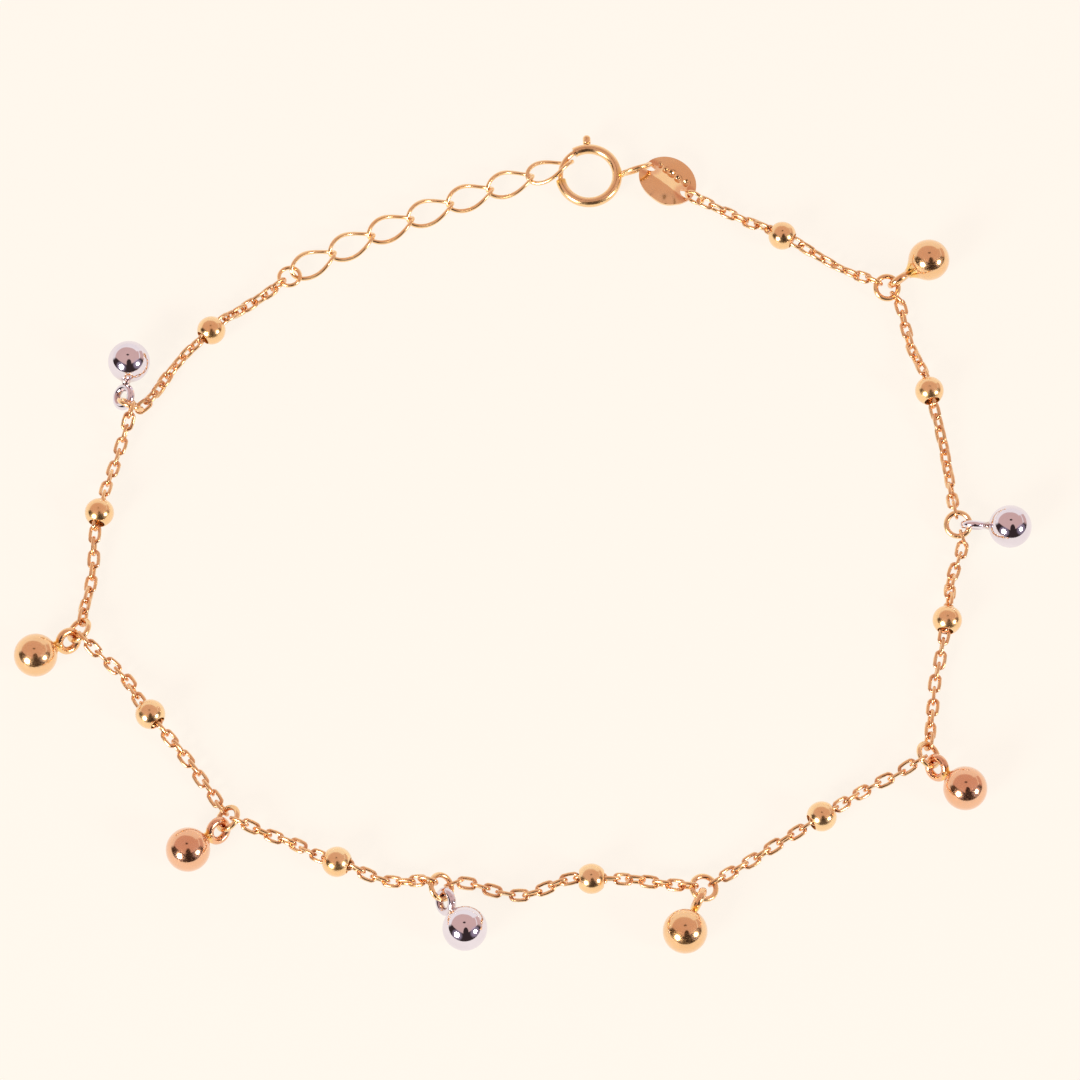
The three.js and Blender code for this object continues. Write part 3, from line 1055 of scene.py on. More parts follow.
    def slider(self) -> Piece:
        """Model the bolt: a bent pin with rounded ends and a barrel knob on a short neck.

        Returns:
            The bolt, in the same place as the shell.
        """
        pin = Bench.arc_rod(self.radius, self.bolt_from, self.bolt_to, self.bolt, 16)
        Bench.round_edges(pin, self.bolt_round, 60)
        turn = Matrix.Rotation(math.radians(self.knob_angle - 90), 4, "Z")
        reach = self.knob_base + self.knob_sunk - self.radius
        neck = self.barrel(24, self.knob_neck, self.radius, reach)
        neck.data.transform(turn)
        knob = self.barrel(32, self.knob, self.knob_base, self.knob_length)
        top = self.knob_base + self.knob_length
        rim = self.knob * self.knob_rim
        with Bench.editing(knob):
            Bench.pick(knob, "FACE", lambda face: face.calc_center_median().y > top - TOUCH)
            bpy.ops.mesh.extrude_region_move(TRANSFORM_OT_translate={"value": (0, 0, 0)})
            bpy.ops.transform.resize(value=(self.knob_crown, 1, self.knob_crown))
            Bench.pick_points(knob, lambda point: point.y > top - TOUCH and point.xz.length > rim)
            bpy.ops.transform.translate(value=(0, -self.knob_dome, 0))
        Bench.round_edges(knob, self.knob_round, 30)
        knob.data.transform(turn)
        Bench.carve(pin, neck, "UNION")
        Bench.carve(pin, knob, "UNION")
        return pin

    def build(self, wardrobe: Wardrobe) -> None:
        """Model the shell and the slider and put them in place.

        Args:
            wardrobe: The finishes.
        """
        for model, name, body, node in (
            (self.shell, "clasp_shell", BRACELET_BODY, "spring_ring"),
            (self.slider, "clasp_slider", BOLT_BODY, "clasp_bolt"),
        ):
            piece = model()
            piece.data.transform(self.place())
            finished(piece, name, node, wardrobe, body=body)


# ---------------------------------------------------------------- tag plate


@dataclass
class Tag:
    """The domed oval tag and the small ring that joins it to the chain."""

    seat: Vector
    towards: Vector
    half_length: float = 2.2
    half_width: float = 1.93
    thickness: float = 0.25
    crown: float = 0.26
    hole_offset: float = 1.65
    hole_radius: float = 0.43
    heading: float = -39.0
    dip: float = 4.0
    slack: float = 0.22
    slack_heading: float = -72.0
    ring_radius: float = 0.66
    ring_wire: float = 0.28
    ring_slack: float = 0.09
    lean: float = 8.0
    bends: tuple[Span, ...] = ((0.45, 33.0), (-0.65, -16.0))
    bend_steps: int = 4
    bend_spread: float = 0.22
    sink: float = 0.2
    edge_round: float = 0.05
    dent_grip: float = 0.06
    dents: tuple[tuple[float, float, float, float], ...] = (
        (-1.15, 0.7, -0.2, 0.32), (-0.64, 0.56, -0.2, 0.3), (-0.1, 0.64, -0.23, 0.36),
        (0.5, 0.56, -0.2, 0.31), (1.15, 0.72, -0.21, 0.32), (1.0, -1.75, -0.24, 1.1),
    )

    def place(self) -> Matrix:
        """Return the tag's transform.

        Returns:
            The transform.
        """
        direction = turned(level(self.heading), UP, -self.dip)
        side = UP.cross(direction).normalized()
        normal = turned(direction.cross(side), side * -1, self.lean)
        hole = self.seat + level(self.slack_heading) * self.slack
        return frame_at(hole + direction * self.hole_offset, direction, normal)

    def ring(self) -> HangingRing:
        """Work out where the small ring stands, upright in the tag's far hole.

        Returns:
            The ring.
        """
        hole = self.place() @ Vector((self.hole_offset, 0, 0))
        heading = without(self.towards - hole, UP)
        centre = hole + heading * (self.ring_slack + self.ring_radius)
        centre.z = self.ring_radius + self.ring_wire / 2
        return HangingRing(centre, heading.cross(UP), self.ring_radius, self.ring_wire, heading * -1)

    def plate(self) -> Piece:
        """Model the plate: a cap of a ball drawn out to an oval, given its thickness and drilled.

        Returns:
            The plate, its middle over the origin.
        """
        ball = (self.half_width**2 + self.crown**2) / (2 * self.crown)
        plate = Bench.placed(
            bpy.ops.mesh.primitive_uv_sphere_add, segments=96, ring_count=256, radius=ball,
            location=(0, 0, self.crown - ball),
        )
        with Bench.editing(plate):
            bpy.ops.mesh.select_all(action="SELECT")
            bpy.ops.mesh.bisect(plane_co=(0, 0, 0), plane_no=(0, 0, 1), clear_inner=True, threshold=1e-5)
            bpy.ops.mesh.select_all(action="SELECT")
            bpy.ops.transform.resize(value=(self.half_length / self.half_width, 1, 1))
        Bench.modified(plate, "SOLIDIFY", thickness=self.thickness, offset=-1.0)
        for end in (-1, 1):
            drill = Bench.started(
                bpy.ops.mesh.primitive_cylinder_add, vertices=40, radius=self.hole_radius, depth=4,
                location=(end * self.hole_offset, 0, 0),
            )
            Bench.carve(plate, drill, "DIFFERENCE")
        Bench.round_edges(plate, self.edge_round, 50)
        with Bench.editing(plate):
            for line, degrees in self.bends:
                for i in range(self.bend_steps):
                    edge = line - self.bend_spread * (i / self.bend_steps - 0.5)
                    Bench.pick_points(plate, lambda point: point.y < edge)
                    bpy.ops.transform.rotate(
                        value=math.radians(degrees) / self.bend_steps, orient_axis="X",
                        center_override=(0, edge, self.crown),
                    )
            for across, up, lift, reach in self.dents:
                Bench.pick_points(
                    plate, lambda point: math.hypot(point.x - across, point.y - up) < self.dent_grip,
                )
                bpy.ops.transform.translate(
                    value=(0, 0, lift), use_proportional_edit=True,
                    proportional_edit_falloff="SMOOTH", proportional_size=reach,
                )
            bpy.ops.mesh.select_all(action="SELECT")
            bpy.ops.transform.translate(value=(0, 0, -self.sink))
        # Painted shade, with grime: darker round the edges of the holes, where the rings pass through.
        Bench.marked(plate, PATINA_AND_SHADE, lambda point: 2.0 - 4.0 * abs(self.hole_edge(point)))
        return plate

    def hole_edge(self, point: Vector) -> float:
        """Return how far a point lies from the edge of the nearer hole."""
        return math.hypot(abs(point.x) - self.hole_offset, point.y) - self.hole_radius

    def build(self, wardrobe: Wardrobe) -> None:
        """Model the tag and its ring and put them in place.

        Args:
            wardrobe: The finishes.
        """
        plate = self.plate()
        plate.data.transform(self.place())
        finished(plate, "domed_tag", "tag_plate", wardrobe)
        finished(self.ring().small(), "tag_link_ring", "tag_ring", wardrobe)


# ---------------------------------------------------------------- extender


@dataclass
class Extender:
    """Seven flat twisted links and the ring that joins them to the chain."""

    bolt_point: Vector
    bolt: float
    count: int = 7
    length: float = 3.82
    width: float = 2.25
    wire: float = 0.32
    pitch: float = 3.17
    twist: float = -45.0
    shoulder: float = 0.85
    height: float = 0.7
    first_heading: float = 30.0
    last_heading: float = 18.5
    last_rise: float = 6.0
    last_roll: float = -22.0
    last_pitch: float = 3.11
    link_depth: float = 0.4
    ring_radius: float = 0.77
    ring_wire: float = 0.3
    ring_heading: float = 40.0
    ring_lean: float = 4.0
    ring_depth: float = 0.15

    def places(self) -> list[Matrix]:
        """Work out where the links lie, from the chain's end to the clasp's bolt.

        Returns:
            One transform for each link, the first at the chain.
        """
        reach = self.length / 2 - self.wire - self.bolt - self.link_depth
        turn = (self.first_heading - self.last_heading) / (self.count - 1)
        raised = turned(level(self.last_heading), UP, self.last_rise)
        centre = self.bolt_point - raised * reach
        places: list[Matrix] = []
        for i in range(self.count):
            heading = self.last_heading + turn * i
            last = i == 0
            direction = raised if last else level(heading)
            side = UP.cross(direction).normalized()
            normal = turned(direction.cross(side), side, -self.last_roll if last else 0.0)
            places.insert(0, frame_at(centre.copy(), direction, normal))
            step = self.last_pitch if last else self.pitch
            centre = centre - level(heading + turn / 2) * step
            centre.z = self.height
        return places

    def ring(self) -> HangingRing:
        """Work out where the joining ring lies in the first link's end.

        Returns:
            The ring.
        """
        first = self.places()[0]
        along = first.to_3x3() @ Vector((1, 0, 0))
        inset = self.length / 2 - self.wire - self.ring_wire / 2 - self.ring_depth
        contact = first.translation - along * inset
        direction = level(self.ring_heading)
        normal = turned(UP, UP.cross(direction), self.ring_lean)
        return HangingRing(
            contact - direction * self.ring_radius, normal, self.ring_radius, self.ring_wire, direction,
        )

    def link(self) -> Piece:
        """Model one link: round wire bent to a long oval, twisted a quarter turn from end to end.

        Returns:
            The link, round the origin.
        """
        half_length = (self.length - self.wire) / 2
        half_width = (self.width - self.wire) / 2
        oval = Bench.started(bpy.ops.curve.primitive_bezier_circle_add, radius=1.0)
        bpy.ops.object.mode_set(mode="EDIT")
        bpy.ops.curve.select_all(action="SELECT")
        bpy.ops.transform.resize(value=(half_length, half_width, 1))
        bpy.ops.object.mode_set(mode="OBJECT")
        curve = oval.data
        for point in curve.splines[0].bezier_points:
            point.handle_left_type = point.handle_right_type = "FREE"
            for handle in ("handle_left", "handle_right"):
                shoulder = getattr(point, handle) - point.co
                setattr(point, handle, point.co + shoulder * self.shoulder)
        curve.resolution_u = 14
        curve.bevel_depth = self.wire / 2
        curve.bevel_resolution = 4
        Bench.take(oval)
        bpy.ops.object.convert(target="MESH")
        link = bpy.context.object
        Bench.tidied(link)
        angle = math.radians(2 * self.twist) * self.length / (self.length - self.wire)
        Bench.modified(link, "SIMPLE_DEFORM", deform_method="TWIST", deform_axis="X", angle=angle)
        return link

    def build(self, wardrobe: Wardrobe) -> None:
        """Model, copy and place the links and the joining ring.

        Args:
            wardrobe: The finishes.
        """
        master = self.link()
        for number, place in enumerate(self.places(), 1):
            link = Bench.copied(master, place)
            finished(link, f"twisted_link_{number}", f"extender_link_{number}", wardrobe, crease=60)
        bpy.data.objects.remove(master)
        finished(self.ring().small(), "joining_ring", "extender_ring", wardrobe)


# ---------------------------------------------------------------- cable chain and beads


@dataclass(frozen=True)
class BeadPlace:
    """Where one bead lies, and how the chain runs to it and from it.

    Attributes:
        x: Where it lies.
        y: Where it lies.
        bow_in: How far the chain bows outwards before it.
        bow_out: How far the chain bows outwards after it.
        roll_in: How far the links before it are rolled from lying flat and upright by turns.
        roll_out: The same for the links after it.
    """

    x: float
    y: float
    bow_in: float
    bow_out: float
    roll_in: float
    roll_out: float


BEAD_PLACES = (
    BeadPlace(18.6, 23.29, 0.15, 0.0, 0, 20),
    BeadPlace(28.75, 10.54, -0.15, 0.25, 20, 45),
    BeadPlace(29.15, -7.36, -0.28, -0.15, 20, 0),
    BeadPlace(19.95, -21.86, -0.25, 0.0, 10, 0),
    BeadPlace(4.35, -26.31, -0.3, 0.9, 0, 10),
    BeadPlace(-12.75, -25.11, 0.35, -0.25, 0, 10),
    BeadPlace(-25.8, -14.41, -0.2, -0.45, 0, 10),
    BeadPlace(-30.1, 0.89, -0.1, 0.2, 10, 0),
    BeadPlace(-22.8, 15.44, 0.35, 0.15, 20, 10),
)


@dataclass(frozen=True)
class Hung:
    """A link hung on a ring: its centre, the way the chain leaves, and the normal of its flat."""

    centre: Vector
    direction: Vector
    square: Vector


@dataclass(frozen=True)
class Bend:
    """A smooth line through points, drawn evenly whatever their spacing."""

    points: tuple[Vector, ...]

    def spans(self) -> Iterable[tuple[Vector, Vector, Vector, Vector]]:
        """Yield each span's two ends with the points before and after them.

        Returns:
            The point before, the two ends and the point after, span by span.
        """
        points = self.points
        before = points[0] * 2 - points[1]
        after = points[-1] * 2 - points[-2]
        held = (before, *points, after)
        for i in range(len(points) - 1):
            yield held[i], held[i + 1], held[i + 2], held[i + 3]

    def line(self, steps: int) -> list[Vector]:
        """Draw the line.

        Args:
            steps: Steps in each span.

        Returns:
            The points along the line.
        """
        drawn = [self.points[0].copy()]
        for before, start, end, after in self.spans():
            gaps = [math.sqrt((b - a).length) for a, b in ((before, start), (start, end), (end, after))]
            lead, gap, trail = gaps
            leave = ((start - before) / lead - (end - before) / (lead + gap) + (end - start) / gap) * gap
            arrive = ((end - start) / gap - (after - start) / (gap + trail) + (after - end) / trail) * gap
            for i in range(1, steps + 1):
                t = i / steps
                square, cube = t * t, t * t * t
                drawn.append(
                    start * (2 * cube - 3 * square + 1) + leave * (cube - 2 * square + t)
                    + end * (3 * square - 2 * cube) + arrive * (cube - square)
                )
        return drawn


@dataclass
class CableChain:
    """The nine stretches of cable chain and the beads threaded on them."""

    rings: list[HangingRing]
    length: float = 1.47
    width: float = 0.94
    wire: float = 0.27
    pitch: float = 0.955
    lie: float = 0.47
    start: float = 0.32
    past_bead: float = 1.25
    lowest_hang: float = 0.5
    bead_radius: float = 1.03
    bore: float = 0.55
    sway: float = 0.04
    wobble: float = 14.0
    held: float = 3.0
    half_turned: float = 0.7
    line_steps: int = 24
    flat: float = 0.92
    flat_depth: float = 0.01
    # The two fields below set painted shade mixed with grime at each link's ends, where the next links cross.
    rub_and_shade_reach: float = 1.6
    rub_and_shade: float = 0.9
    mouth_round: float = 0.05

    def held_up(self, direction: Vector, normal: Vector, lowest: float) -> Vector:
        """Find the direction in a ring's plane that doesn't drop below a slope.

        Args:
            direction: The direction wanted.
            normal: The ring's axis.
            lowest: The least upward part that the direction may have.

        Returns:
            The direction wanted, or the nearest one at that slope.
        """
        if direction.z >= lowest:
            return direction
        flat = normal.cross(UP).normalized()
        steep = flat.cross(normal)
        climb = lowest / steep.z
        run = math.copysign(math.sqrt(1 - climb**2), flat.dot(direction))
        return flat * run + steep * climb

    def hung(self, ring: HangingRing, bead: BeadPlace) -> Hung:
        """Hang an end link on a ring, leaving towards a bead.

        Args:
            ring: The ring.
            bead: The bead on the stretch.

        Returns:
            The hung link.
        """
        heading = without(Vector((bead.x, bead.y, 0)) - ring.centre, UP)
        farthest = without(heading, ring.normal)
        outward = self.held_up(farthest, ring.normal, (self.lowest_hang - ring.centre.z) / ring.radius)
        square = ring.normal.cross(outward)
        direction = without(heading, square)
        slack = self.length / 2 - self.wire - ring.wire / 2 - CLEARANCE
        return Hung(ring.centre + outward * ring.radius + direction * slack, direction, square)

    def route(self, start: Hung, bead: BeadPlace, end: Hung) -> list[Vector]:
        """Draw the line of the links' centres from one end link through a bead to the other.

        Args:
            start: The first link.
            bead: The bead on the stretch.
            end: The last link.

        Returns:
            The points of the line.
        """
        heading = without(end.centre - start.centre, UP)
        outward = heading.cross(UP)
        centre = Vector((bead.x, bead.y, self.bead_radius))

        def lying(hung: Hung, bow: float) -> Vector:
            """Return the point between a link and the bead, bowed outwards and down on the floor."""
            middle = (hung.centre + centre) / 2 - outward * bow
            middle.z = self.lie
            return middle

        def lowered(point: Vector, towards: Vector) -> Vector:
            """Return the point one link on, half way down to the floor."""
            onward = point + (towards - point).normalized() * self.pitch
            onward.z = (onward.z + self.lie) / 2
            return onward

        first = start.centre + start.direction * self.start
        last = end.centre + end.direction * self.start
        reach = heading * self.past_bead * self.bead_radius
        before, after = lying(start, bead.bow_in), lying(end, bead.bow_out)
        bend = Bend((
            first, lowered(first, before), before, centre - reach, centre,
            centre + reach, after, lowered(last, after), last,
        ))
        return [start.centre, *bend.line(self.line_steps), end.centre]

    def link(self) -> Piece:
        """Model one link: a ring of wire drawn out to an oval, with flats cut on its faces.

        Returns:
            The link, round the origin.
        """
        link = Bench.hoop((self.width - self.wire) / 2, self.wire, 16, 8)
        draw = (self.length - self.width) / 2
        ridge = self.wire / 2 - self.flat_depth
        with Bench.editing(link):
            for side in (-1, 1):
                Bench.pick_points(link, lambda point: point.x * side > TOUCH)
                bpy.ops.transform.translate(value=(side * draw, 0, 0))
            Bench.pick_points(link, lambda point: abs(point.z) > ridge)
            bpy.ops.transform.resize(value=(1, 1, self.flat))
        # Painted shade, with grime: darker at the link's ends, where the next links cross it.
        crossing = self.length / 2 - self.rub_and_shade_reach * self.wire
        Bench.marked(link, PATINA_AND_SHADE, lambda point: self.rub_and_shade * (abs(point.x) - crossing) / self.wire)
        return link

    def bead(self) -> Piece:
        """Model one bead: a ball cut off at both ends, its mouths joined by a bore and rounded.

        Returns:
            The bead, its bore along y.
        """
        bead = Bench.placed(
            bpy.ops.mesh.primitive_uv_sphere_add, segments=48, ring_count=28, radius=self.bead_radius,
            rotation=(math.pi / 2, 0, 0),
        )
        mouth = math.sqrt(self.bead_radius**2 - self.bore**2)

        def on_mouth(a: Vector, b: Vector) -> bool:
            """Say whether an edge runs round either mouth."""
            return abs(abs(a.y) - mouth) < 1e-3 and abs(a.y - b.y) < 1e-3

        with Bench.editing(bead):
            for side in (-1, 1):
                bpy.ops.mesh.select_all(action="SELECT")
                bpy.ops.mesh.bisect(
                    plane_co=(0, side * mouth, 0), plane_no=(0, side, 0), clear_outer=True, threshold=1e-5,
                )
            Bench.pick_edges(bead, on_mouth)
            bpy.ops.mesh.bridge_edge_loops()
            Bench.pick_edges(bead, on_mouth)
            bpy.ops.mesh.bevel(offset=self.mouth_round, segments=3)
        Bench.tidied(bead)
        return bead

    def rolls(self, start: Hung, end: Hung, bead: BeadPlace, line: list[Vector], count: int) -> list[Vector]:
        """Work out the normal of each link's flat along a stretch.

        Args:
            start: The first link.
            end: The last link.
            bead: The bead between them, with the rolls on either side of it.
            line: The links' centres.
            count: How many links there are.

        Returns:
            One unit normal for each link.
        """
        dice = random.Random(round(bead.x * 100))
        normals: list[Vector] = []
        for i in range(count):
            tangent = line[min(i + 1, count - 1)] - line[max(i - 1, 0)]
            tangent.normalize()
            side = UP.cross(tangent).normalized()
            over = tangent.cross(side)

            def angle_of(normal: Vector) -> float:
                """Return a flat's turn about the chain here, in degrees."""
                flat = without(normal, tangent)
                return math.degrees(math.atan2(flat.dot(side), flat.dot(over)))

            def nearest(angle: float, aim: float) -> float:
                """Return the turn nearest to an angle that is a number of quarter turns from an aim."""
                return aim + 90 * round((angle - aim) / 90)

            from_start = angle_of(start.square) + 90 * i
            from_end = angle_of(end.square) + 90 * (count - 1 - i)
            lead = bead.roll_in if i < count / 2 else bead.roll_out
            free = nearest(from_start, lead)
            held_start = max(0.0, 1 - i / self.held)
            held_end = max(0.0, 1 - (count - 1 - i) / self.held)
            angle = free + (from_start - free) * held_start
            end_turn = (from_end - free + 45) % 90 - 45
            angle += end_turn * held_end
            angle += dice.uniform(-self.wobble, self.wobble) * (1 - max(held_start, held_end))
            normals.append(turned(over, side, angle))
        return normals

    def spaced(self, line: list[Vector], bead: BeadPlace, gaps: int) -> list[Vector]:
        """Space link centres evenly along a line, each a little off it.

        Args:
            line: Points along the stretch.
            bead: The bead on the stretch.
            gaps: Gaps between links.

        Returns:
            The centres, one more than the gaps.
        """
        lengths = [0.0]
        for before, after in zip(line, line[1:]):
            lengths.append(lengths[-1] + (after - before).length)
        dice = random.Random(round(bead.y * 100))
        centres: list[Vector] = []
        at = 0
        for i in range(gaps + 1):
            distance = lengths[-1] * i / gaps
            while at < len(lengths) - 2 and lengths[at + 1] < distance:
                at += 1
            share = (distance - lengths[at]) / (lengths[at + 1] - lengths[at])
            spot = line[at].lerp(line[at + 1], share)
            if 0 < i < gaps:
                spot += Vector((dice.uniform(-1, 1), dice.uniform(-1, 1), 0)) * self.sway
            centres.append(spot)
        return centres

    def stretch(self, master: Piece, start: Hung, end: Hung, bead: BeadPlace) -> Piece:
        """Copy the link along one stretch of chain and join the copies.

        Links lie crosswise in turn, so one more is laid where the last would not go round its ring's wire.

        Args:
            master: The modelled link.
            start: The first link.
            end: The last link.
            bead: The bead on the stretch.

        Returns:
            The stretch as one piece.
        """
        line = self.route(start, bead, end)
        gaps = round(sum((after - before).length for before, after in zip(line, line[1:])) / self.pitch)
        centres = self.spaced(line, bead, gaps)
        normals = self.rolls(start, end, bead, centres, gaps + 1)
        if abs(normals[-1].dot(end.square)) < self.half_turned:
            gaps += 1
            centres = self.spaced(line, bead, gaps)
            normals = self.rolls(start, end, bead, centres, gaps + 1)
        links = []
        for i, (centre, normal) in enumerate(zip(centres, normals)):
            along = centres[min(i + 1, gaps)] - centres[max(i - 1, 0)]
            if i == 0:
                along = start.direction
            elif i == gaps:
                along = end.direction * -1
            along = along.normalized()
            links.append(Bench.copied(master, frame_at(centre, along, without(normal, along))))
        return Bench.joined(links)

    def build(self, wardrobe: Wardrobe) -> None:
        """Model the link and the bead, and lay every stretch.

        Args:
            wardrobe: The finishes.
        """
        link, bead = self.link(), self.bead()
        for number, spot in enumerate(BEAD_PLACES, 1):
            start = self.hung(self.rings[number - 1], spot)
            end = self.hung(self.rings[number], spot)
            chain = self.stretch(link, start, end, spot)
            finished(chain, f"cable_{number}", f"chain_{number}", wardrobe, crease=60)
            heading = without(end.centre - start.centre, UP)
            centre = Vector((spot.x, spot.y, self.bead_radius))
            place = frame_at(centre, heading.cross(UP), UP)
            finished(Bench.copied(bead, place), f"drilled_bead_{number}", f"bead_{number}", wardrobe)
        for master in (link, bead):
            bpy.data.objects.remove(master)


# ---------------------------------------------------------------- studio


@dataclass(frozen=True)
class Lamp:
    """One round lamp.

    Attributes:
        name: Its name.
        direction: Where it stands, seen from the bracelet.
        size: Its diameter, in metres.
        power: Its power, in watts.
    """

    name: str
    direction: tuple[float, float, float]
    size: float
    power: float


@dataclass
class Room:
    """What the gold mirrors: how much of each thing in a room shows in a direction."""

    recipe: Recipe
    x: Socket
    y: Socket
    z: Socket
    paper_height: float = 0.56
    paper_fall: float = 0.26
    paper_edge: Span = (-0.02, 0.05)
    paper_side: Span = (-0.05, 0.05)
    seam_climb: float = 0.46
    seam_lean: float = 0.08
    seam_edge: Span = (0.02, 0.07)
    seam_near: Span = (0.4, 0.55)
    seam_far: Span = (0.0, 0.15)
    hole_across: Span = (7.5, 0.2)
    hole_away: Span = (11.0, -2.1)
    hole_size: float = 1.2
    hole_edge: Span = (0.0, 0.6)
    ceiling: Span = (0.5, 0.6)
    wall_spread: float = 0.29
    wall_away: float = 0.459
    wall_up: float = 0.5
    wall_edge: Span = (-0.015, 0.03)
    front: Span = (0.02, 0.26)
    person_across: Span = (4.0, -0.45)
    person_away: Span = (2.4, 1.5)
    person_edge: Span = (0.0, 0.25)
    halo_edge: Span = (0.86, 0.975)
    halo_share: float = 0.55

    def paper(self) -> Socket:
        """Return where the paper shows as it curves up behind, lower on the left.

        Returns:
            The share.
        """
        work, rising = self.recipe.work, self.recipe.rising
        left = work("MINIMUM", self.x, 0.0)
        brim = work("SUBTRACT", work("MULTIPLY_ADD", left, self.paper_fall, self.paper_height), self.z)
        beside = work("SUBTRACT", self.y, self.x)
        return work("MULTIPLY", rising(brim, self.paper_edge), rising(beside, self.paper_side))

    def seam(self) -> Socket:
        """Return where a bright seam runs down the right-hand wall.

        Returns:
            The share.
        """
        work, rising = self.recipe.work, self.recipe.rising
        slope = work("MULTIPLY_ADD", self.x, self.seam_climb, work("MULTIPLY", self.y, self.seam_lean))
        thin = rising(work("ABSOLUTE", work("SUBTRACT", self.z, slope)), self.seam_edge)
        ends = work("MULTIPLY", rising(self.x, self.seam_near), rising(self.y, self.seam_far))
        return work("MULTIPLY", work("SUBTRACT", 1.0, thin), ends)

    def hole(self) -> Socket:
        """Return where a small dark hole shows in the ceiling.

        Returns:
            The share.
        """
        inside = self.recipe.oval(self.x, self.y, self.hole_across, self.hole_away, self.hole_size)
        edge, above = self.recipe.rising(inside, self.hole_edge), self.recipe.rising(self.z, self.ceiling)
        return self.recipe.work("MULTIPLY", edge, above)

    def dark(self) -> Socket:
        """Return where the dark room shows in front, with somebody standing in the middle of it.

        Returns:
            The share.
        """
        work, rising = self.recipe.work, self.recipe.rising
        wide = work("MULTIPLY", work("ABSOLUTE", self.x), self.wall_spread)
        slope = work("ADD", work("MULTIPLY", self.y, self.wall_away), work("MULTIPLY", self.z, self.wall_up))
        walls = rising(work("SUBTRACT", wide, slope), self.wall_edge)
        ahead = work("SUBTRACT", 1.0, rising(self.y, self.front))
        somebody = self.recipe.oval(self.x, self.y, self.person_across, self.person_away, 1.0)
        return work("MAXIMUM", work("MULTIPLY", walls, ahead), rising(somebody, self.person_edge))

    def halo(self, lamp: Lamp) -> Socket:
        """Return where the glow round a lamp shows.

        Args:
            lamp: The lamp.

        Returns:
            The share.
        """
        near: object = 0.0
        for axis, part in zip((self.x, self.y, self.z), Vector(lamp.direction).normalized()):
            near = self.recipe.work("MULTIPLY_ADD", axis, part, near)
        return self.recipe.work("MULTIPLY", self.recipe.rising(near, self.halo_edge), self.halo_share)


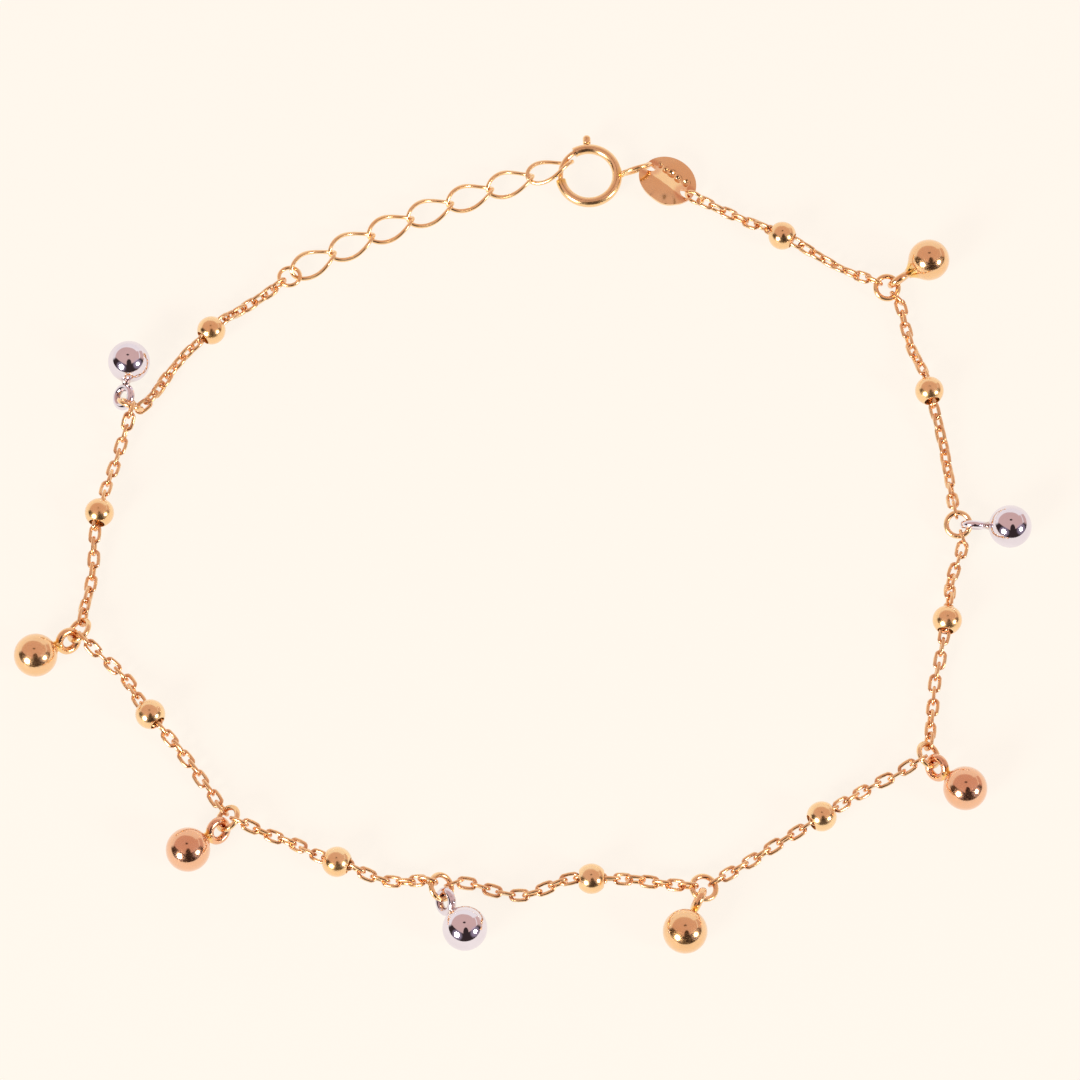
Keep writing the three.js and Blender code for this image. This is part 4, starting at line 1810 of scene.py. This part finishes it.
@dataclass
class Studio:
    """A pale floor that curves up behind, a soft room, two round lamps in front, and the camera."""

    aim: Vector = field(default_factory=lambda: Vector((0.0009, -0.00076, 0.0)))
    elevation: float = 65.0
    distance: float = 0.247
    floor_size: float = 4.0
    lens: float = 116.9
    paper: Colour = Colour(1.0, 0.94, 0.855)
    sweep: Colour = Colour(0.96, 0.89, 0.84)
    sky: Colour = Colour(0.69, 0.46, 0.405)
    halo: Colour = Colour(0.55, 0.46, 0.58)
    shade: Colour = Colour(0.04, 0.025, 0.025)
    paper_glow: float = 0.9
    paper_answer: float = 0.12
    reach: float = 0.8
    lamplight: tuple[float, float, float] = (1.0, 0.98, 0.93)
    lamps: tuple[Lamp, ...] = (
        Lamp("left_lamp", (-0.61, -0.69, 0.39), 0.33, 4.9),
        Lamp("right_lamp", (0.81, -0.423, 0.407), 0.23, 2.4),
    )

    def camera(self) -> None:
        """Stand the camera in front of the bracelet, looking down at it."""
        lens = bpy.data.cameras.new("camera")
        lens.lens = self.lens
        lens.clip_start = 0.01
        camera = bpy.data.objects.new("camera", lens)
        bpy.context.scene.collection.objects.link(camera)
        tilt = math.radians(self.elevation)
        back = Vector((0, -math.cos(tilt), math.sin(tilt)))
        camera.location = self.aim + back * self.distance
        camera.rotation_euler = (math.pi / 2 - tilt, 0, 0)
        bpy.context.scene.camera = camera

    def floor(self) -> None:
        """Lay a plain pale floor that keeps only a trace of shadow."""
        floor = Bench.started(bpy.ops.mesh.primitive_plane_add, size=self.floor_size)
        floor.name = "floor"
        material = bpy.data.materials.new("pale_floor")
        material.use_nodes = True
        Recipe(material.node_tree).fill(material.node_tree.nodes["Principled BSDF"], {
            "Base Color": self.paper.scaled(self.paper_answer).rgba(),
            "Roughness": 1.0,
            "Specular IOR Level": 0.0,
            "Emission Color": self.paper.rgba(),
            "Emission Strength": self.paper_glow,
        })
        floor.data.materials.append(material)

    def hang(self, lamp: Lamp) -> None:
        """Hang one lamp, turned towards the bracelet.

        Args:
            lamp: The lamp.
        """
        light = bpy.data.lights.new(lamp.name, "AREA")
        light.shape = "DISK"
        light.size = lamp.size
        light.energy = lamp.power
        light.color = self.lamplight
        direction = Vector(lamp.direction).normalized()
        hung = bpy.data.objects.new(lamp.name, light)
        hung.location = direction * self.reach
        hung.rotation_euler = direction.to_track_quat("Z", "Y").to_euler()
        bpy.context.scene.collection.objects.link(hung)

    def room(self) -> None:
        """Paint the room: warm overhead, pale behind, dark in front, and pale paper to the eye."""
        world = bpy.data.worlds.new("room")
        bpy.context.scene.world = world
        world.use_nodes = True
        world.node_tree.nodes.clear()
        recipe = Recipe(world.node_tree)
        views = recipe.add("TexCoord", {}).outputs["Generated"]
        room = Room(recipe, *recipe.add("SeparateXYZ", {"Vector": views}).outputs)
        colour: Socket | Colour = self.sky
        for shown, share in (
            (self.sweep, room.paper()), (self.sweep, room.seam()),
            (self.shade, room.hole()), (self.shade, room.dark()),
            *((self.halo, room.halo(lamp)) for lamp in self.lamps),
        ):
            colour = recipe.painted(colour, shown, share)
        lit = recipe.add("Background", {"Color": colour})
        seen = recipe.add("Background", {"Color": self.paper.rgba()})
        to_eye = recipe.add("LightPath", {}).outputs["Is Camera Ray"]
        mixed = recipe.add("MixShader", {"Fac": to_eye, 1: lit.outputs[0], 2: seen.outputs[0]})
        recipe.add("OutputWorld", {"Surface": mixed.outputs["Shader"]})

    def build(self) -> None:
        """Set up the camera, the floor, the lamps and the room."""
        self.camera()
        self.floor()
        for lamp in self.lamps:
            self.hang(lamp)
        self.room()
        bpy.context.scene.view_settings.view_transform = "Standard"
        LOG.info("studio ready")


def main() -> None:
    """Build the bracelet in order, then the studio, and note the sizes."""
    logging.basicConfig(level=logging.INFO, format="%(name)s: %(message)s")
    wardrobe = Wardrobe()
    drops = BallDrops()
    drops.build(wardrobe)
    clasp = Clasp()
    clasp.build(wardrobe)
    tag = Tag(clasp.tag_seat(), Vector((BEAD_PLACES[0].x, BEAD_PLACES[0].y, 0)))
    tag.build(wardrobe)
    extender = Extender(clasp.link_seat(), clasp.bolt)
    extender.build(wardrobe)
    CableChain([tag.ring(), *drops.rings, extender.ring()]).build(wardrobe)
    Studio().build()


if __name__ == "__main__":
    main()
